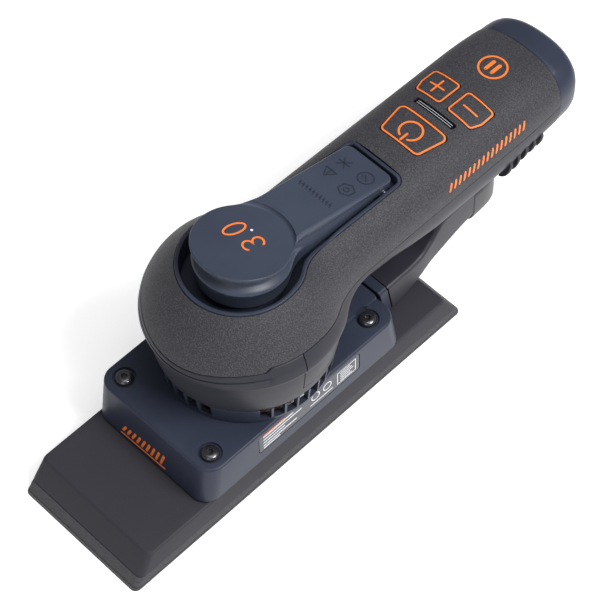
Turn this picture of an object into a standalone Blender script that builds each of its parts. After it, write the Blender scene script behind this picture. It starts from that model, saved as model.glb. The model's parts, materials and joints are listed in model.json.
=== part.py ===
"""Corded brushless orbital sander with a long rectangular pad.

Frame: the origin is on the motor axis, at the sanding face of the pad. +Z is up,
the nose of the tool points along -X and the handle runs along +X.
Every length is written in millimetres and scaled by MM to metres.
"""
import math

import bmesh
import bpy
from mathutils import Matrix, Vector

MM = 0.001

# Clearances
GAP = 0.3                   # between neighbouring pieces
SEAM_GAP = 0.5              # between the edges of the upper and lower shells

# Pad and orbit
ORBIT_OFFSET = 1.5          # half of the 3 mm orbit
PAD_X = -ORBIT_OFFSET       # pad centre and eccentric axis at rest
PAD_HALF_LENGTH = 99.0
PAD_HALF_WIDTH = 35.0
PAD_HEIGHT = 16.9
PAD_FRONT_SLOPE = 11.0      # how far the front end leans in over the pad's height
PAD_REAR_SLOPE = 9.7
PAD_SIDE_SLOPE = 1.4
PAD_CORNER = 3.0
HOOK_TOP = 1.3
FOAM_TOP = 6.0
DUST_HOLE_RADIUS = 4.5
DUST_HOLE_X = (-32.0, 0.0, 32.0)
DUST_HOLE_Y = 23.0

# Pad shroud
SHROUD_BOTTOM = 17.9
SHROUD_TOP = 39.4
SHROUD_FRONT = -54.8
SHROUD_REAR = 56.9
SHROUD_FLARE = 3.6          # front and rear walls lean out by this much at the bottom
SHROUD_HALF_WIDTH = 34.6
SHROUD_CORNER = 8.0
SHROUD_WALL = 2.6
SCREW_X = 46.3
SCREW_Y = 26.2
RECESS_RADIUS = 5.0
RECESS_DEPTH = 1.2
DUCT_HALF_WIDTH = 22.8
CARRIER_HOLE = 31.0

# Drum between shroud and dome
RING_BOTTOM = SHROUD_TOP + GAP
RING_TOP = 50.6
VENT_BOTTOM = 41.6
VENT_WIDTH = 4.9
SIDE_VENTS = 7
SIDE_VENT_START = 121.8     # degrees from +X
SIDE_VENT_STEP = 8.9
FRONT_VENTS = 5
FRONT_VENT_STEP = 10.0
HOUSING_REAR_TOP = 57.3     # the lower shell stands on the housing here

# Dome: a superellipse turned about the motor axis
DOME_RADIUS = 43.4
DOME_MID = 75.0
DOME_RISE = 44.0
DOME_POWER = 1.5
WALL = 2.4
SEAM_RADIUS = 40.6          # dome radius where the two shells meet
BELT_PROFILE = ((RING_TOP + GAP, 38.7), (55.0, 39.6), (60.0, 40.4), (66.0, 41.2), (72.6, 41.8),
                (73.9, 43.2), (DOME_MID, DOME_RADIUS))

# Handle: superellipse halves above and below its widest line
HANDLE_HALF_WIDTH = 26.8
HANDLE_MID = 76.0
HANDLE_POWER = 2.8
BELLY_POWER = 2.6
HANDLE_END = 169.5
HANDLE_END_BOW = 3.5
CAP_END = 183.2

# Lever well and its trim
TRIM_RADIUS = 26.6
TRIM_HALF_WIDTH = 15.8
TRIM_BLEND = 25.0
TRIM_END = 79.0
TRIM_CORNER = 4.0
TRIM_WALL = 1.7
TRIM_PROUD = 0.4
WELL_FLOOR = 91.5
WELL_FLOOR_THICKNESS = 1.6

# Paddle lever
LEVER_X = 1.0               # centre of the thumb disc
LEVER_RADIUS = 20.6
LEVER_HALF_WIDTH = 13.1
LEVER_BLEND = 22.0
LEVER_END = 75.0
LEVER_CORNER = 3.0
PIVOT_X = 70.0
PIVOT_Z = 93.4
PIN_RADIUS = 1.5
PLUNGER_X = 22.0
SPRING_X = 44.0

# Dust duct and outlet
DUCT_BOTTOM_LEAN = SHROUD_FLARE / (SHROUD_TOP - SHROUD_BOTTOM)
OUTLET_START = 118.4
OUTLET_END = 136.0
SPIGOT_Z = 37.7
SPIGOT_BORE = 8.9
SPIGOT_RADIUS = 10.7
SPIGOT_END = 141.0

NAVY = (0.030, 0.036, 0.052, 1.0)
CHARCOAL = (0.024, 0.023, 0.024, 1.0)
GREY = (0.040, 0.041, 0.047, 1.0)
FOAM = (0.030, 0.029, 0.032, 1.0)
STEEL = (0.55, 0.56, 0.58, 1.0)
BLACK_STEEL = (0.03, 0.03, 0.035, 1.0)
COPPER = (0.72, 0.32, 0.14, 1.0)
BOARD_GREEN = (0.02, 0.12, 0.05, 1.0)
RUBBER = (0.02, 0.02, 0.02, 1.0)
LABEL = (0.045, 0.045, 0.05, 1.0)
MAGNET = (0.12, 0.12, 0.13, 1.0)


# ---------------------------------------------------------------- small helpers

def clear_scene():
    for item in list(bpy.data.objects):
        bpy.data.objects.remove(item, do_unlink=True)


def finish_material(name, colour, roughness, metallic=0.0):
    found = bpy.data.materials.get(name)
    if found:
        return found
    finish = bpy.data.materials.new(name)
    finish.use_nodes = True
    shader = finish.node_tree.nodes["Principled BSDF"]
    shader.inputs["Base Color"].default_value = colour
    shader.inputs["Roughness"].default_value = roughness
    shader.inputs["Metallic"].default_value = metallic
    finish.diffuse_color = colour
    return finish


def add_object(name, points, faces, finish=None, smooth_degrees=32.0):
    """Make one object from points in millimetres; merges points that coincide."""
    shape = bmesh.new()
    corners = [shape.verts.new([value * MM for value in point]) for point in points]
    for face in faces:
        shape.faces.new([corners[index] for index in face])
    bmesh.ops.remove_doubles(shape, verts=shape.verts, dist=1e-6)
    bmesh.ops.recalc_face_normals(shape, faces=shape.faces)
    mesh = bpy.data.meshes.new(name)
    shape.to_mesh(mesh)
    shape.free()
    mesh.shade_smooth()
    mesh.set_sharp_from_angle(angle=math.radians(smooth_degrees))
    item = bpy.data.objects.new(name, mesh)
    bpy.context.collection.objects.link(item)
    if finish:
        mesh.materials.append(finish)
    return item


def hide_cutter(item):
    item.hide_render = True
    item.display_type = "WIRE"


def combine(item, other, operation="DIFFERENCE"):
    """Add a Boolean modifier; the other object becomes a hidden helper."""
    hide_cutter(other)
    step = item.modifiers.new(other.name, "BOOLEAN")
    step.operation = operation
    step.solver = "EXACT"
    step.object = other


def add_wall(item, thickness):
    """Thicken an open skin inwards."""
    step = item.modifiers.new("wall", "SOLIDIFY")
    step.thickness = thickness * MM
    step.offset = -1.0
    step.use_even_offset = True
    step.use_rim = True


def smoothstep(value):
    value = min(1.0, max(0.0, value))
    return value * value * (3.0 - 2.0 * value)


def interpolate(x, stops):
    """Straight lines through (x, value) stops, level beyond both ends."""
    if x <= stops[0][0]:
        return stops[0][1]
    for (x0, v0), (x1, v1) in zip(stops, stops[1:]):
        if x <= x1:
            share = (x - x0) / (x1 - x0)
            return v0 + (v1 - v0) * share
    return stops[-1][1]


def loft(rings, closed=True):
    """Skin rings of equally many points; closed adds the two end faces."""
    count = len(rings[0])
    points = [point for ring in rings for point in ring]
    faces = []
    for level in range(len(rings) - 1):
        base = level * count
        for step in range(count):
            after = (step + 1) % count
            faces.append((base + step, base + after, base + count + after, base + count + step))
    if closed:
        faces.append(tuple(range(count)))
        last = (len(rings) - 1) * count
        faces.append(tuple(last + step for step in reversed(range(count))))
    return points, faces


def add_loft(name, rings, finish=None):
    points, faces = loft(rings)
    return add_object(name, points, faces, finish)


def prism(name, outline, low, high, finish=None):
    rings = [[(x, y, level) for x, y in outline] for level in (low, high)]
    return add_loft(name, rings, finish)


def circle(radius, count, centre=(0.0, 0.0), start=0.0):
    step = 2.0 * math.pi / count
    return [(centre[0] + radius * math.cos(start + step * index),
             centre[1] + radius * math.sin(start + step * index)) for index in range(count)]


def rounded_rectangle(left, right, half_width, corner, steps=5):
    outline = []
    centres = ((right - corner, half_width - corner, 0.0), (left + corner, half_width - corner, 90.0),
               (left + corner, corner - half_width, 180.0), (right - corner, corner - half_width, 270.0))
    for centre_x, centre_y, start in centres:
        for index in range(steps + 1):
            angle = math.radians(start + 90.0 * index / steps)
            outline.append((centre_x + corner * math.cos(angle), centre_y + corner * math.sin(angle)))
    return outline


def box(name, low, high, finish=None):
    outline = [(low[0], low[1]), (high[0], low[1]), (high[0], high[1]), (low[0], high[1])]
    return prism(name, outline, low[2], high[2], finish)


def lathe(name, profile, finish=None, count=48, centre=(0.0, 0.0)):
    """Turn a profile of (radius, height) about a vertical axis.

    A profile that starts and ends at radius 0 makes a solid piece; any other
    profile is a closed loop and makes a ring.
    """
    solid = profile[0][0] == 0.0 and profile[-1][0] == 0.0
    points = []
    rows = []
    for radius, height in profile:
        if radius == 0.0:
            rows.append([len(points)] * count)
            points.append((centre[0], centre[1], height))
        else:
            rows.append(list(range(len(points), len(points) + count)))
            points.extend((x, y, height) for x, y in circle(radius, count, centre))
    pairs = list(zip(rows, rows[1:]))
    if not solid:
        pairs.append((rows[-1], rows[0]))
    faces = []
    for lower, upper in pairs:
        for step in range(count):
            after = (step + 1) % count
            ring = [lower[step], lower[after], upper[after], upper[step]]
            face = list(dict.fromkeys(ring))
            if len(face) > 2:
                faces.append(tuple(face))
    return add_object(name, points, faces, finish)


def lathe_along_x(name, profile, finish=None, count=40, height=0.0):
    """Turn a closed profile of (radius, x) about a line along X at the given height."""
    points = []
    for radius, x in profile:
        points.extend((x, y, height + z) for y, z in circle(radius, count))
    faces = []
    rows = len(profile)
    for row in range(rows):
        base = row * count
        other = ((row + 1) % rows) * count
        for step in range(count):
            after = (step + 1) % count
            faces.append((base + step, base + after, other + after, other + step))
    return add_object(name, points, faces, finish)


def cylinder_along(name, start, end, radius, finish=None, count=16):
    """Straight round bar between two points."""
    axis = (Vector(end) - Vector(start)).normalized()
    side = axis.orthogonal().normalized()
    other = axis.cross(side)
    rings = []
    for middle in (Vector(start), Vector(end)):
        ring = []
        for x, y in circle(radius, count):
            ring.append(tuple(middle + side * x + other * y))
        rings.append(ring)
    return add_loft(name, rings, finish)


def tube_path(name, path, radius, finish=None, count=8):
    """Round bar that follows a path of points."""
    rings = []
    line = [Vector(point) for point in path]
    for index, middle in enumerate(line):
        before = line[max(index - 1, 0)]
        after = line[min(index + 1, len(line) - 1)]
        axis = (after - before).normalized()
        side = axis.cross(Vector((0.0, 0.0, 1.0)))
        if side.length < 0.1:
            side = axis.cross(Vector((0.0, 1.0, 0.0)))
        side.normalize()
        other = axis.cross(side)
        rings.append([tuple(middle + side * x + other * y) for x, y in circle(radius, count)])
    return add_loft(name, rings, finish)


# ---------------------------------------------------------------- keyhole outlines

def keyhole_point(leg, share, radius, half_width, blend, end_x, start_angle=math.pi):
    """Point on the left half of a keyhole: leg 0 round front, 1 hollow blend, 2 straight side."""
    blend_x = math.sqrt((radius + blend) ** 2 - (half_width + blend) ** 2)
    tangent = math.atan2(half_width + blend, blend_x)
    if leg == 0:
        angle = start_angle + share * (tangent - start_angle)
        return radius * math.cos(angle), radius * math.sin(angle)
    if leg == 1:
        first = tangent + math.pi
        angle = first + share * (1.5 * math.pi - first)
        return blend_x + blend * math.cos(angle), half_width + blend + blend * math.sin(angle)
    return blend_x + share * (end_x - blend_x), half_width


def stations(front, hollow, straight):
    """(leg, share) pairs from the nose to the rear end."""
    path = [(0, index / front) for index in range(front)]
    path += [(1, index / hollow) for index in range(hollow)]
    path += [(2, index / straight) for index in range(straight + 1)]
    return path


def keyhole_outline(radius, half_width, blend, end_x, corner, shift_x=0.0, counts=(10, 4, 3)):
    """Closed keyhole with two rounded rear corners, running anticlockwise from the nose."""
    left = []
    for leg, share in stations(*counts):
        x, y = keyhole_point(leg, share, radius, half_width, blend, end_x - shift_x - corner)
        left.append((x + shift_x, y))
    for index in range(1, 4):
        angle = math.radians(90.0 - 90.0 * index / 3)
        left.append((end_x - corner + corner * math.cos(angle),
                     half_width - corner + corner * math.sin(angle)))
    right = [(x, -y) for x, y in left[1:]]
    return left[::-1] + right


# ---------------------------------------------------------------- outer body surface

def dome_radius(height):
    """Radius of the turned body at a height: belt below the widest line, dome above it."""
    if height <= DOME_MID:
        return interpolate(height, BELT_PROFILE)
    rise = min((height - DOME_MID) / DOME_RISE, 1.0)
    return DOME_RADIUS * (1.0 - rise ** DOME_POWER) ** (1.0 / DOME_POWER)


def dome_height(radius):
    share = min(radius / DOME_RADIUS, 1.0)
    return DOME_MID + DOME_RISE * (1.0 - share ** DOME_POWER) ** (1.0 / DOME_POWER)


def handle_top(x):
    """Height of the handle's top centreline."""
    droop = max(0.0, x - 150.0) / 20.0
    return 101.2 - 0.0413 * x - 2.0 * droop * droop


def handle_bottom(x):
    """Height of the handle's underside centreline."""
    stops = ((40.0, 62.0), (60.0, 60.0), (75.0, 53.5), (90.0, 49.5), (139.0, 49.5), (146.0, 53.0),
             (165.0, 53.0))
    return interpolate(x, stops)


def handle_half_width(x):
    return HANDLE_HALF_WIDTH * (1.0 - 0.045 * max(0.0, (x - 140.0) / 30.0) ** 2)


def handle_height(x, y):
    share = min(abs(y) / handle_half_width(x), 1.0)
    rise = (1.0 - share ** HANDLE_POWER) ** (1.0 / HANDLE_POWER)
    return HANDLE_MID + (handle_top(x) - HANDLE_MID) * rise


def handle_share(leg, share, start_angle):
    """0 on the dome, 1 on the handle, taken where the widest outline passes this station."""
    x, y = keyhole_point(leg, share, SEAM_RADIUS, HANDLE_HALF_WIDTH, 45.0, HANDLE_END, start_angle)
    return smoothstep((x + 2.0) / 46.0)


def seam_height(angle):
    """Lower edge of the upper shell round the dome; angle in degrees from +X."""
    front = 79.0 + 3.6 * smoothstep((180.0 - angle) / 55.0)
    return front + 1.8 * smoothstep((121.5 - angle) / 6.0)


def upper_level(share, leg, level):
    """One point of the left half of the upper shell's outer surface."""
    seam = seam_height(180.0 - share * 125.0 if leg == 0 else 60.0)
    start = math.asin(((seam - DOME_MID) / DOME_RISE) ** (DOME_POWER / 2.0))
    turn = start + level * (math.radians(60.0) - start)
    radius = DOME_RADIUS * math.cos(turn) ** (2.0 / DOME_POWER)
    dome_z = DOME_MID + DOME_RISE * math.sin(turn) ** (2.0 / DOME_POWER)
    lift = level * math.pi / 2.0
    side = max(math.cos(lift), 0.0) ** (2.0 / HANDLE_POWER)
    if level > 0.999:
        side = 0.0
    half_width = HANDLE_HALF_WIDTH * side
    end_x = HANDLE_END - HANDLE_END_BOW * side * side
    blend = 45.0 - 25.0 * level
    x, y = keyhole_point(leg, share, radius, half_width, blend, end_x)
    taper = handle_half_width(x) / HANDLE_HALF_WIDTH
    rise = math.sin(lift) ** (2.0 / HANDLE_POWER)
    handle_z = HANDLE_MID + (handle_top(x) - HANDLE_MID) * rise
    mix = handle_share(leg, share, math.pi)
    return x, y * taper, dome_z + (handle_z - dome_z) * mix


def lower_level(share, leg, level, levels):
    """One point of the left half of the lower shell's outer surface."""
    wall_heights = (84.4 - SEAM_GAP, 79.5, DOME_MID, 73.9, 72.6, 66.0, HOUSING_REAR_TOP + GAP)
    if level < len(wall_heights):
        dome_z = wall_heights[level]
        radius = dome_radius(dome_z)
    else:
        inward = (level - len(wall_heights) + 1) / (levels - len(wall_heights))
        dome_z = wall_heights[-1]
        radius = dome_radius(dome_z) - 2.6 * inward
    turn = (math.pi / 2.0) * (level / (levels - 1))
    side = max(math.cos(turn), 0.0) ** (2.0 / BELLY_POWER)
    if level == levels - 1:
        side = 0.0
    half_width = HANDLE_HALF_WIDTH * side
    end_x = HANDLE_END - HANDLE_END_BOW * side * side
    blend = 45.0 - 40.0 * level / (levels - 1)
    x, y = keyhole_point(leg, share, radius, half_width, blend, end_x, math.radians(97.0))
    taper = handle_half_width(x) / HANDLE_HALF_WIDTH
    drop = math.sin(turn) ** (2.0 / BELLY_POWER)
    handle_z = HANDLE_MID - SEAM_GAP - (HANDLE_MID - SEAM_GAP - handle_bottom(x)) * drop
    high_mix = handle_share(leg, share, math.radians(97.0))
    low_mix = smoothstep((x - 37.0) / 20.0)
    mix = high_mix + (low_mix - high_mix) * smoothstep(level / (len(wall_heights) - 1))
    return x, y * taper, dome_z + (handle_z - dome_z) * mix


def mirrored_skin(columns):
    """Skin made of columns of points on the left half, plus its mirror image."""
    rows = len(columns[0])
    points = []
    faces = []
    for sign in (1.0, -1.0):
        offset = len(points)
        for column in columns:
            points.extend((x, y * sign, z) for x, y, z in column)
        for index in range(len(columns) - 1):
            for row in range(rows - 1):
                first = offset + index * rows + row
                second = first + rows
                faces.append((first, second, second + 1, first + 1))
    return points, faces


def clean_skin(name, columns, finish):
    """Open skin whose faces point outwards, away from the body's middle line."""
    points, faces = mirrored_skin(columns)
    shape = bmesh.new()
    corners = [shape.verts.new([value * MM for value in point]) for point in points]
    for face in faces:
        shape.faces.new([corners[index] for index in face])
    bmesh.ops.remove_doubles(shape, verts=shape.verts, dist=2e-6)
    bmesh.ops.dissolve_degenerate(shape, edges=shape.edges, dist=1e-6)
    bmesh.ops.recalc_face_normals(shape, faces=shape.faces)
    shape.faces.ensure_lookup_table()
    middle = Vector((0.06, 0.0, HANDLE_MID * MM))
    votes = sum(1 if face.normal.dot(face.calc_center_median() - middle) > 0.0 else -1
                for face in shape.faces)
    if votes < 0:
        bmesh.ops.reverse_faces(shape, faces=shape.faces)
    mesh = bpy.data.meshes.new(name)
    shape.to_mesh(mesh)
    shape.free()
    mesh.shade_smooth()
    mesh.set_sharp_from_angle(angle=math.radians(40.0))
    mesh.materials.append(finish)
    item = bpy.data.objects.new(name, mesh)
    bpy.context.collection.objects.link(item)
    return item


# ---------------------------------------------------------------- pad

def pad_ring(height, inset=0.0):
    share = height / PAD_HEIGHT
    left = PAD_X - PAD_HALF_LENGTH + PAD_FRONT_SLOPE * share + inset
    right = PAD_X + PAD_HALF_LENGTH - PAD_REAR_SLOPE * share - inset
    half_width = PAD_HALF_WIDTH - PAD_SIDE_SLOPE * share - inset
    outline = rounded_rectangle(left, right, half_width, PAD_CORNER, 3)
    return [(x, y, height) for x, y in outline]


def dust_holes(name, low, high):
    points = []
    faces = []
    for hole_x in DUST_HOLE_X:
        for hole_y in (-DUST_HOLE_Y, DUST_HOLE_Y):
            outline = circle(DUST_HOLE_RADIUS, 8, (hole_x, hole_y))
            rings = [[(x, y, level) for x, y in outline] for level in (low, high)]
            more_points, more_faces = loft(rings)
            offset = len(points)
            points.extend(more_points)
            faces.extend(tuple(index + offset for index in face) for face in more_faces)
    return add_object(name, points, faces)


def make_pad():
    hook = finish_material("hook_loops", (0.055, 0.055, 0.06, 1.0), 0.95)
    foam = finish_material("pad_foam", FOAM, 0.9)
    plate = finish_material("pad_plate", CHARCOAL, 0.75)
    layers = (("hook_face", (0.0, HOOK_TOP), hook), ("pad_foam", (HOOK_TOP + GAP, FOAM_TOP), foam),
              ("pad_plate", (FOAM_TOP + GAP, PAD_HEIGHT - 0.5, PAD_HEIGHT), plate))
    for name, heights, finish in layers:
        rings = [pad_ring(height) for height in heights]
        if name == "pad_plate":
            rings[-1] = pad_ring(PAD_HEIGHT, 0.5)
        item = add_loft(name, rings, finish)
        combine(item, dust_holes(name + "_hole_cutter", -1.0, PAD_HEIGHT + 1.0))
        if name == "pad_plate":
            pocket = [(0.0, 5.0), (6.6, 5.0), (6.6, 12.2), (3.4, 12.2), (3.4, 18.0), (0.0, 18.0)]
            combine(item, lathe("bolt_pocket_cutter", pocket, None, 20, (PAD_X, 0.0)))


def make_pad_drive():
    steel = finish_material("bright_steel", STEEL, 0.3, 1.0)
    low = PAD_HEIGHT + GAP
    spindle = [(3.4, low), (14.0, low), (14.0, low + 2.2), (5.0, low + 2.2), (5.0, 28.4), (3.4, 28.4)]
    lathe("pad_spindle", spindle, steel, 18, (PAD_X, 0.0))
    bolt = [(0.0, 7.4), (6.2, 7.4), (6.2, 11.8), (3.0, 11.8), (3.0, 27.0), (0.0, 27.0)]
    lathe("pad_bolt", bolt, finish_material("black_steel", BLACK_STEEL, 0.35, 0.9), 20, (PAD_X, 0.0))
    bearing = [(5.3, 21.2), (13.0, 21.2), (13.0, 29.2), (5.3, 29.2)]
    lathe("spindle_bearing", bearing, steel, 18, (PAD_X, 0.0))


# ---------------------------------------------------------------- rotor

def make_rotor():
    steel = finish_material("bright_steel", STEEL, 0.3, 1.0)
    aluminium = finish_material("cast_aluminium", (0.5, 0.5, 0.52, 1.0), 0.45, 0.9)
    cast = finish_material("cast_iron", (0.15, 0.15, 0.16, 1.0), 0.6, 0.8)
    plastic = finish_material("fan_plastic", (0.03, 0.03, 0.03, 1.0), 0.5)
    lathe("motor_shaft", [(0.0, 31.0), (4.0, 31.0), (4.0, 84.0), (0.0, 84.0)], steel, 24)
    profile = [(0.0, 29.5), (13.3, 29.5), (13.3, 20.4), (17.0, 20.4), (17.0, 32.9), (0.0, 32.9)]
    hub = lathe("eccentric_hub", profile, aluminium, 20, (PAD_X, 0.0))
    combine(hub, lathe("hub_bore_cutter", [(0.0, 28.0), (4.3, 28.0), (4.3, 34.0), (0.0, 34.0)], None, 24))
    weight = []
    for index in range(17):
        angle = math.radians(-80.0 + 160.0 * index / 16)
        weight.append((29.0 * math.cos(angle), 29.0 * math.sin(angle)))
    for index in range(17):
        angle = math.radians(80.0 - 160.0 * index / 16)
        weight.append((PAD_X + 17.3 * math.cos(angle), 17.3 * math.sin(angle)))
    prism("counterweight", weight, 22.0, 32.4, cast)
    fan = prism("cooling_fan", fan_outline(), 42.6, 49.4, plastic)
    combine(fan, lathe("fan_bore_cutter", [(0.0, 41.0), (4.3, 41.0), (4.3, 51.0), (0.0, 51.0)], None, 24))
    lathe("rotor_core", [(4.3, 54.0), (12.0, 54.0), (12.0, 70.0), (4.3, 70.0)], steel, 18)
    lathe("rotor_magnets", [(12.3, 53.4), (16.6, 53.4), (16.6, 70.6), (12.3, 70.6)],
          finish_material("magnet", MAGNET, 0.4, 0.6), 20)


def fan_outline(blades=11, hub=10.0, tip=31.0, thickness=1.6):
    outline = []
    for index in range(blades):
        middle = 2.0 * math.pi * index / blades
        sweep = 0.42
        for radius, offset, turn in ((hub, -1.0, 0.0), (21.0, -1.0, 0.5 * sweep), (tip, -1.0, sweep),
                                     (tip, 1.0, sweep), (21.0, 1.0, 0.5 * sweep), (hub, 1.0, 0.0)):
            angle = middle + turn + offset * 0.5 * thickness / radius
            outline.append((radius * math.cos(angle), radius * math.sin(angle)))
    return outline


# ---------------------------------------------------------------- motor and bearings

def stator_ring(radii, slots=12):
    """Inner outline of the stator: teeth that widen at their tips, with open slots."""
    tip, root = radii
    outline = []
    for index in range(slots):
        middle = 2.0 * math.pi * index / slots
        for radius, offset in ((tip, -0.19), (tip, 0.19), (root, 0.12), (root, 0.40)):
            angle = middle + offset
            outline.append((radius * math.cos(angle), radius * math.sin(angle)))
    return outline


def make_motor():
    steel = finish_material("bright_steel", STEEL, 0.3, 1.0)
    lamination = finish_material("lamination", (0.2, 0.2, 0.21, 1.0), 0.5, 0.8)
    copper = finish_material("copper", COPPER, 0.35, 0.9)
    aluminium = finish_material("cast_aluminium", (0.5, 0.5, 0.52, 1.0), 0.45, 0.9)
    stator = prism("stator_core", circle(33.6, 32), 54.0, 70.0, lamination)
    combine(stator, prism("stator_slot_cutter", stator_ring((17.4, 29.0)), 52.0, 72.0))
    upper = [(18.0, 70.4), (29.5, 70.4), (30.0, 73.0), (28.0, 76.0), (20.0, 76.0), (18.0, 74.0)]
    lathe("upper_winding", upper, copper, 18)
    lower = [(19.0, 50.4), (29.0, 50.4), (30.0, 52.0), (29.5, 53.6), (18.0, 53.6), (18.0, 51.6)]
    lathe("lower_winding", lower, copper, 18)
    lathe("lower_bearing", [(4.3, 33.8), (11.0, 33.8), (11.0, 40.6), (4.3, 40.6)], steel, 18)
    carrier = [(11.3, 33.4), (14.5, 33.4), (14.5, 36.9), (30.6, 36.9), (30.6, 39.8), (34.0, 39.8),
               (34.0, 41.2), (11.3, 41.2)]
    lathe("bearing_carrier", carrier, aluminium, 24)
    lathe("upper_bearing", [(4.3, 77.0), (9.5, 77.0), (9.5, 83.0), (4.3, 83.0)], steel, 18)
    plate = [(9.8, 76.8), (12.6, 76.8), (12.6, 79.0), (36.0, 79.0), (36.0, 81.0), (12.6, 81.0),
             (12.6, 84.4), (9.8, 84.4)]
    lathe("motor_end_plate", plate, aluminium, 24)


# ---------------------------------------------------------------- shroud

def shroud_ring(height, inset=0.0):
    lean = SHROUD_FLARE * (SHROUD_TOP - height) / (SHROUD_TOP - SHROUD_BOTTOM)
    outline = rounded_rectangle(SHROUD_FRONT - lean + inset, SHROUD_REAR + lean - inset,
                                SHROUD_HALF_WIDTH - inset, SHROUD_CORNER - min(inset, 3.0), 5)
    return [(x, y, height) for x, y in outline]


def make_shroud():
    navy = finish_material("navy_plastic", NAVY, 0.42)
    top = SHROUD_TOP
    heights = ((SHROUD_BOTTOM, 0.0), (top - 1.6, 0.0), (top - 0.5, 0.4), (top, 1.4))
    shroud = add_loft("pad_shroud", [shroud_ring(height, inset) for height, inset in heights], navy)
    hump = rounded_rectangle(26.0, 56.4, DUCT_HALF_WIDTH - 0.4, 1.5, 3)
    hump_rings = [[(x, y, z) for x, y in hump] for z in (38.0, 41.0)]
    hump_rings.append([(x, y * 0.97, 41.5) for x, y in hump])
    combine(shroud, add_loft("duct_hump_helper", hump_rings), "UNION")
    clear = [(0.0, top), (37.9, top), (37.9, 43.0), (0.0, 43.0)]
    combine(shroud, lathe("drum_seat_cutter", clear, None, 48))
    inside = [shroud_ring(height, SHROUD_WALL) for height in (SHROUD_BOTTOM - 1.0, top - 2.8)]
    combine(shroud, add_loft("shroud_inside_cutter", inside))
    combine(shroud, lathe("carrier_hole_cutter", [(0.0, 30.0), (CARRIER_HOLE, 30.0), (CARRIER_HOLE, 42.0),
                                                  (0.0, 42.0)], None, 24))
    port = [(y, z) for y, z in rounded_rectangle(-19.0, 19.0, 6.0, 3.0, 3)]
    port_rings = [[(x, y, 30.0 + z) for y, z in port] for x in (50.0, 62.0)]
    combine(shroud, add_loft("duct_port_cutter", port_rings))
    label = [(x, z) for x, z in rounded_rectangle(-27.0, 33.0, 6.2, 1.6, 3)]
    label_rings = [[(x, y, 30.6 + z) for x, z in label]
                   for y in (-SHROUD_HALF_WIDTH - 1.0, -SHROUD_HALF_WIDTH + 0.6)]
    combine(shroud, add_loft("label_recess_cutter", label_rings))
    sticker = [(x, z) for x, z in rounded_rectangle(-26.6, 32.6, 5.8, 1.3, 3)]
    sticker_rings = [[(x, y, 30.6 + z) for x, z in sticker]
                     for y in (-SHROUD_HALF_WIDTH + 0.05, -SHROUD_HALF_WIDTH + 0.45)]
    add_loft("rating_label", sticker_rings, finish_material("label", LABEL, 0.5))
    for place, x, y in screw_places():
        recess = [(0.0, top - RECESS_DEPTH), (RECESS_RADIUS, top - RECESS_DEPTH),
                  (RECESS_RADIUS + 0.4, top + 3.0), (0.0, top + 3.0)]
        combine(shroud, lathe("recess_cutter_" + place, recess, None, 14, (x, y)))
        hole = [(0.0, 30.0), (2.4, 30.0), (2.4, 40.0), (0.0, 40.0)]
        combine(shroud, lathe("hole_cutter_" + place, hole, None, 10, (x, y)))


def screw_places():
    places = []
    for end, x in (("front", -SCREW_X), ("rear", SCREW_X)):
        for side, y in (("left", SCREW_Y), ("right", -SCREW_Y)):
            places.append((end + "_" + side, x, y))
    return places


def make_legs_and_screws():
    rubber = finish_material("rubber", RUBBER, 0.85)
    black = finish_material("black_steel", BLACK_STEEL, 0.35, 0.9)
    head_low = SHROUD_TOP - RECESS_DEPTH + GAP
    for place, x, y in screw_places():
        leg = [(0.0, 17.4), (5.4, 17.4), (5.4, 19.6), (4.6, 21.0), (4.2, 26.0), (4.6, 31.5), (5.4, 33.5),
               (5.4, 36.2), (2.5, 36.2), (2.5, 24.0), (0.0, 24.0)]
        lathe("rubber_leg_" + place, leg, rubber, 8, (x, y))
        screw = [(0.0, 26.0), (2.0, 26.0), (2.0, head_low), (4.0, head_low), (4.0, head_low + 0.7),
                 (3.4, head_low + 1.6), (2.2, head_low + 2.2), (0.0, head_low + 2.35)]
        item = lathe("shroud_screw_" + place, screw, black, 10, (x, y))
        socket = circle(1.4, 6, (x, y))
        combine(item, prism("socket_cutter_" + place, socket, head_low + 0.9, head_low + 4.0))


# ---------------------------------------------------------------- drum

def make_vent_ring():
    navy = finish_material("navy_plastic", NAVY, 0.42)
    profile = [(37.35, RING_BOTTOM), (37.7, 43.0), (38.2, 47.0), (38.65, RING_TOP), (35.6, RING_TOP),
               (34.8, RING_BOTTOM)]
    ring = lathe("vent_ring", profile, navy, 48)
    angles = [180.0 + FRONT_VENT_STEP * (index - (FRONT_VENTS - 1) / 2.0) for index in range(FRONT_VENTS)]
    for index in range(SIDE_VENTS):
        angle = SIDE_VENT_START - SIDE_VENT_STEP * index
        angles += [angle, -angle]
    points = []
    faces = []
    for angle in angles:
        out = Vector((math.cos(math.radians(angle)), math.sin(math.radians(angle)), 0.0))
        side = Vector((-out.y, out.x, 0.0)) * (VENT_WIDTH / 2.0)
        outline = [out * 33.0 - side, out * 41.0 - side, out * 41.0 + side, out * 33.0 + side]
        rings = [[(p.x, p.y, z) for p in outline] for z in (VENT_BOTTOM, RING_TOP + 2.0)]
        more_points, more_faces = loft(rings)
        offset = len(points)
        points.extend(more_points)
        faces.extend(tuple(corner + offset for corner in face) for face in more_faces)
    combine(ring, add_object("vent_cutter", points, faces))


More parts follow.
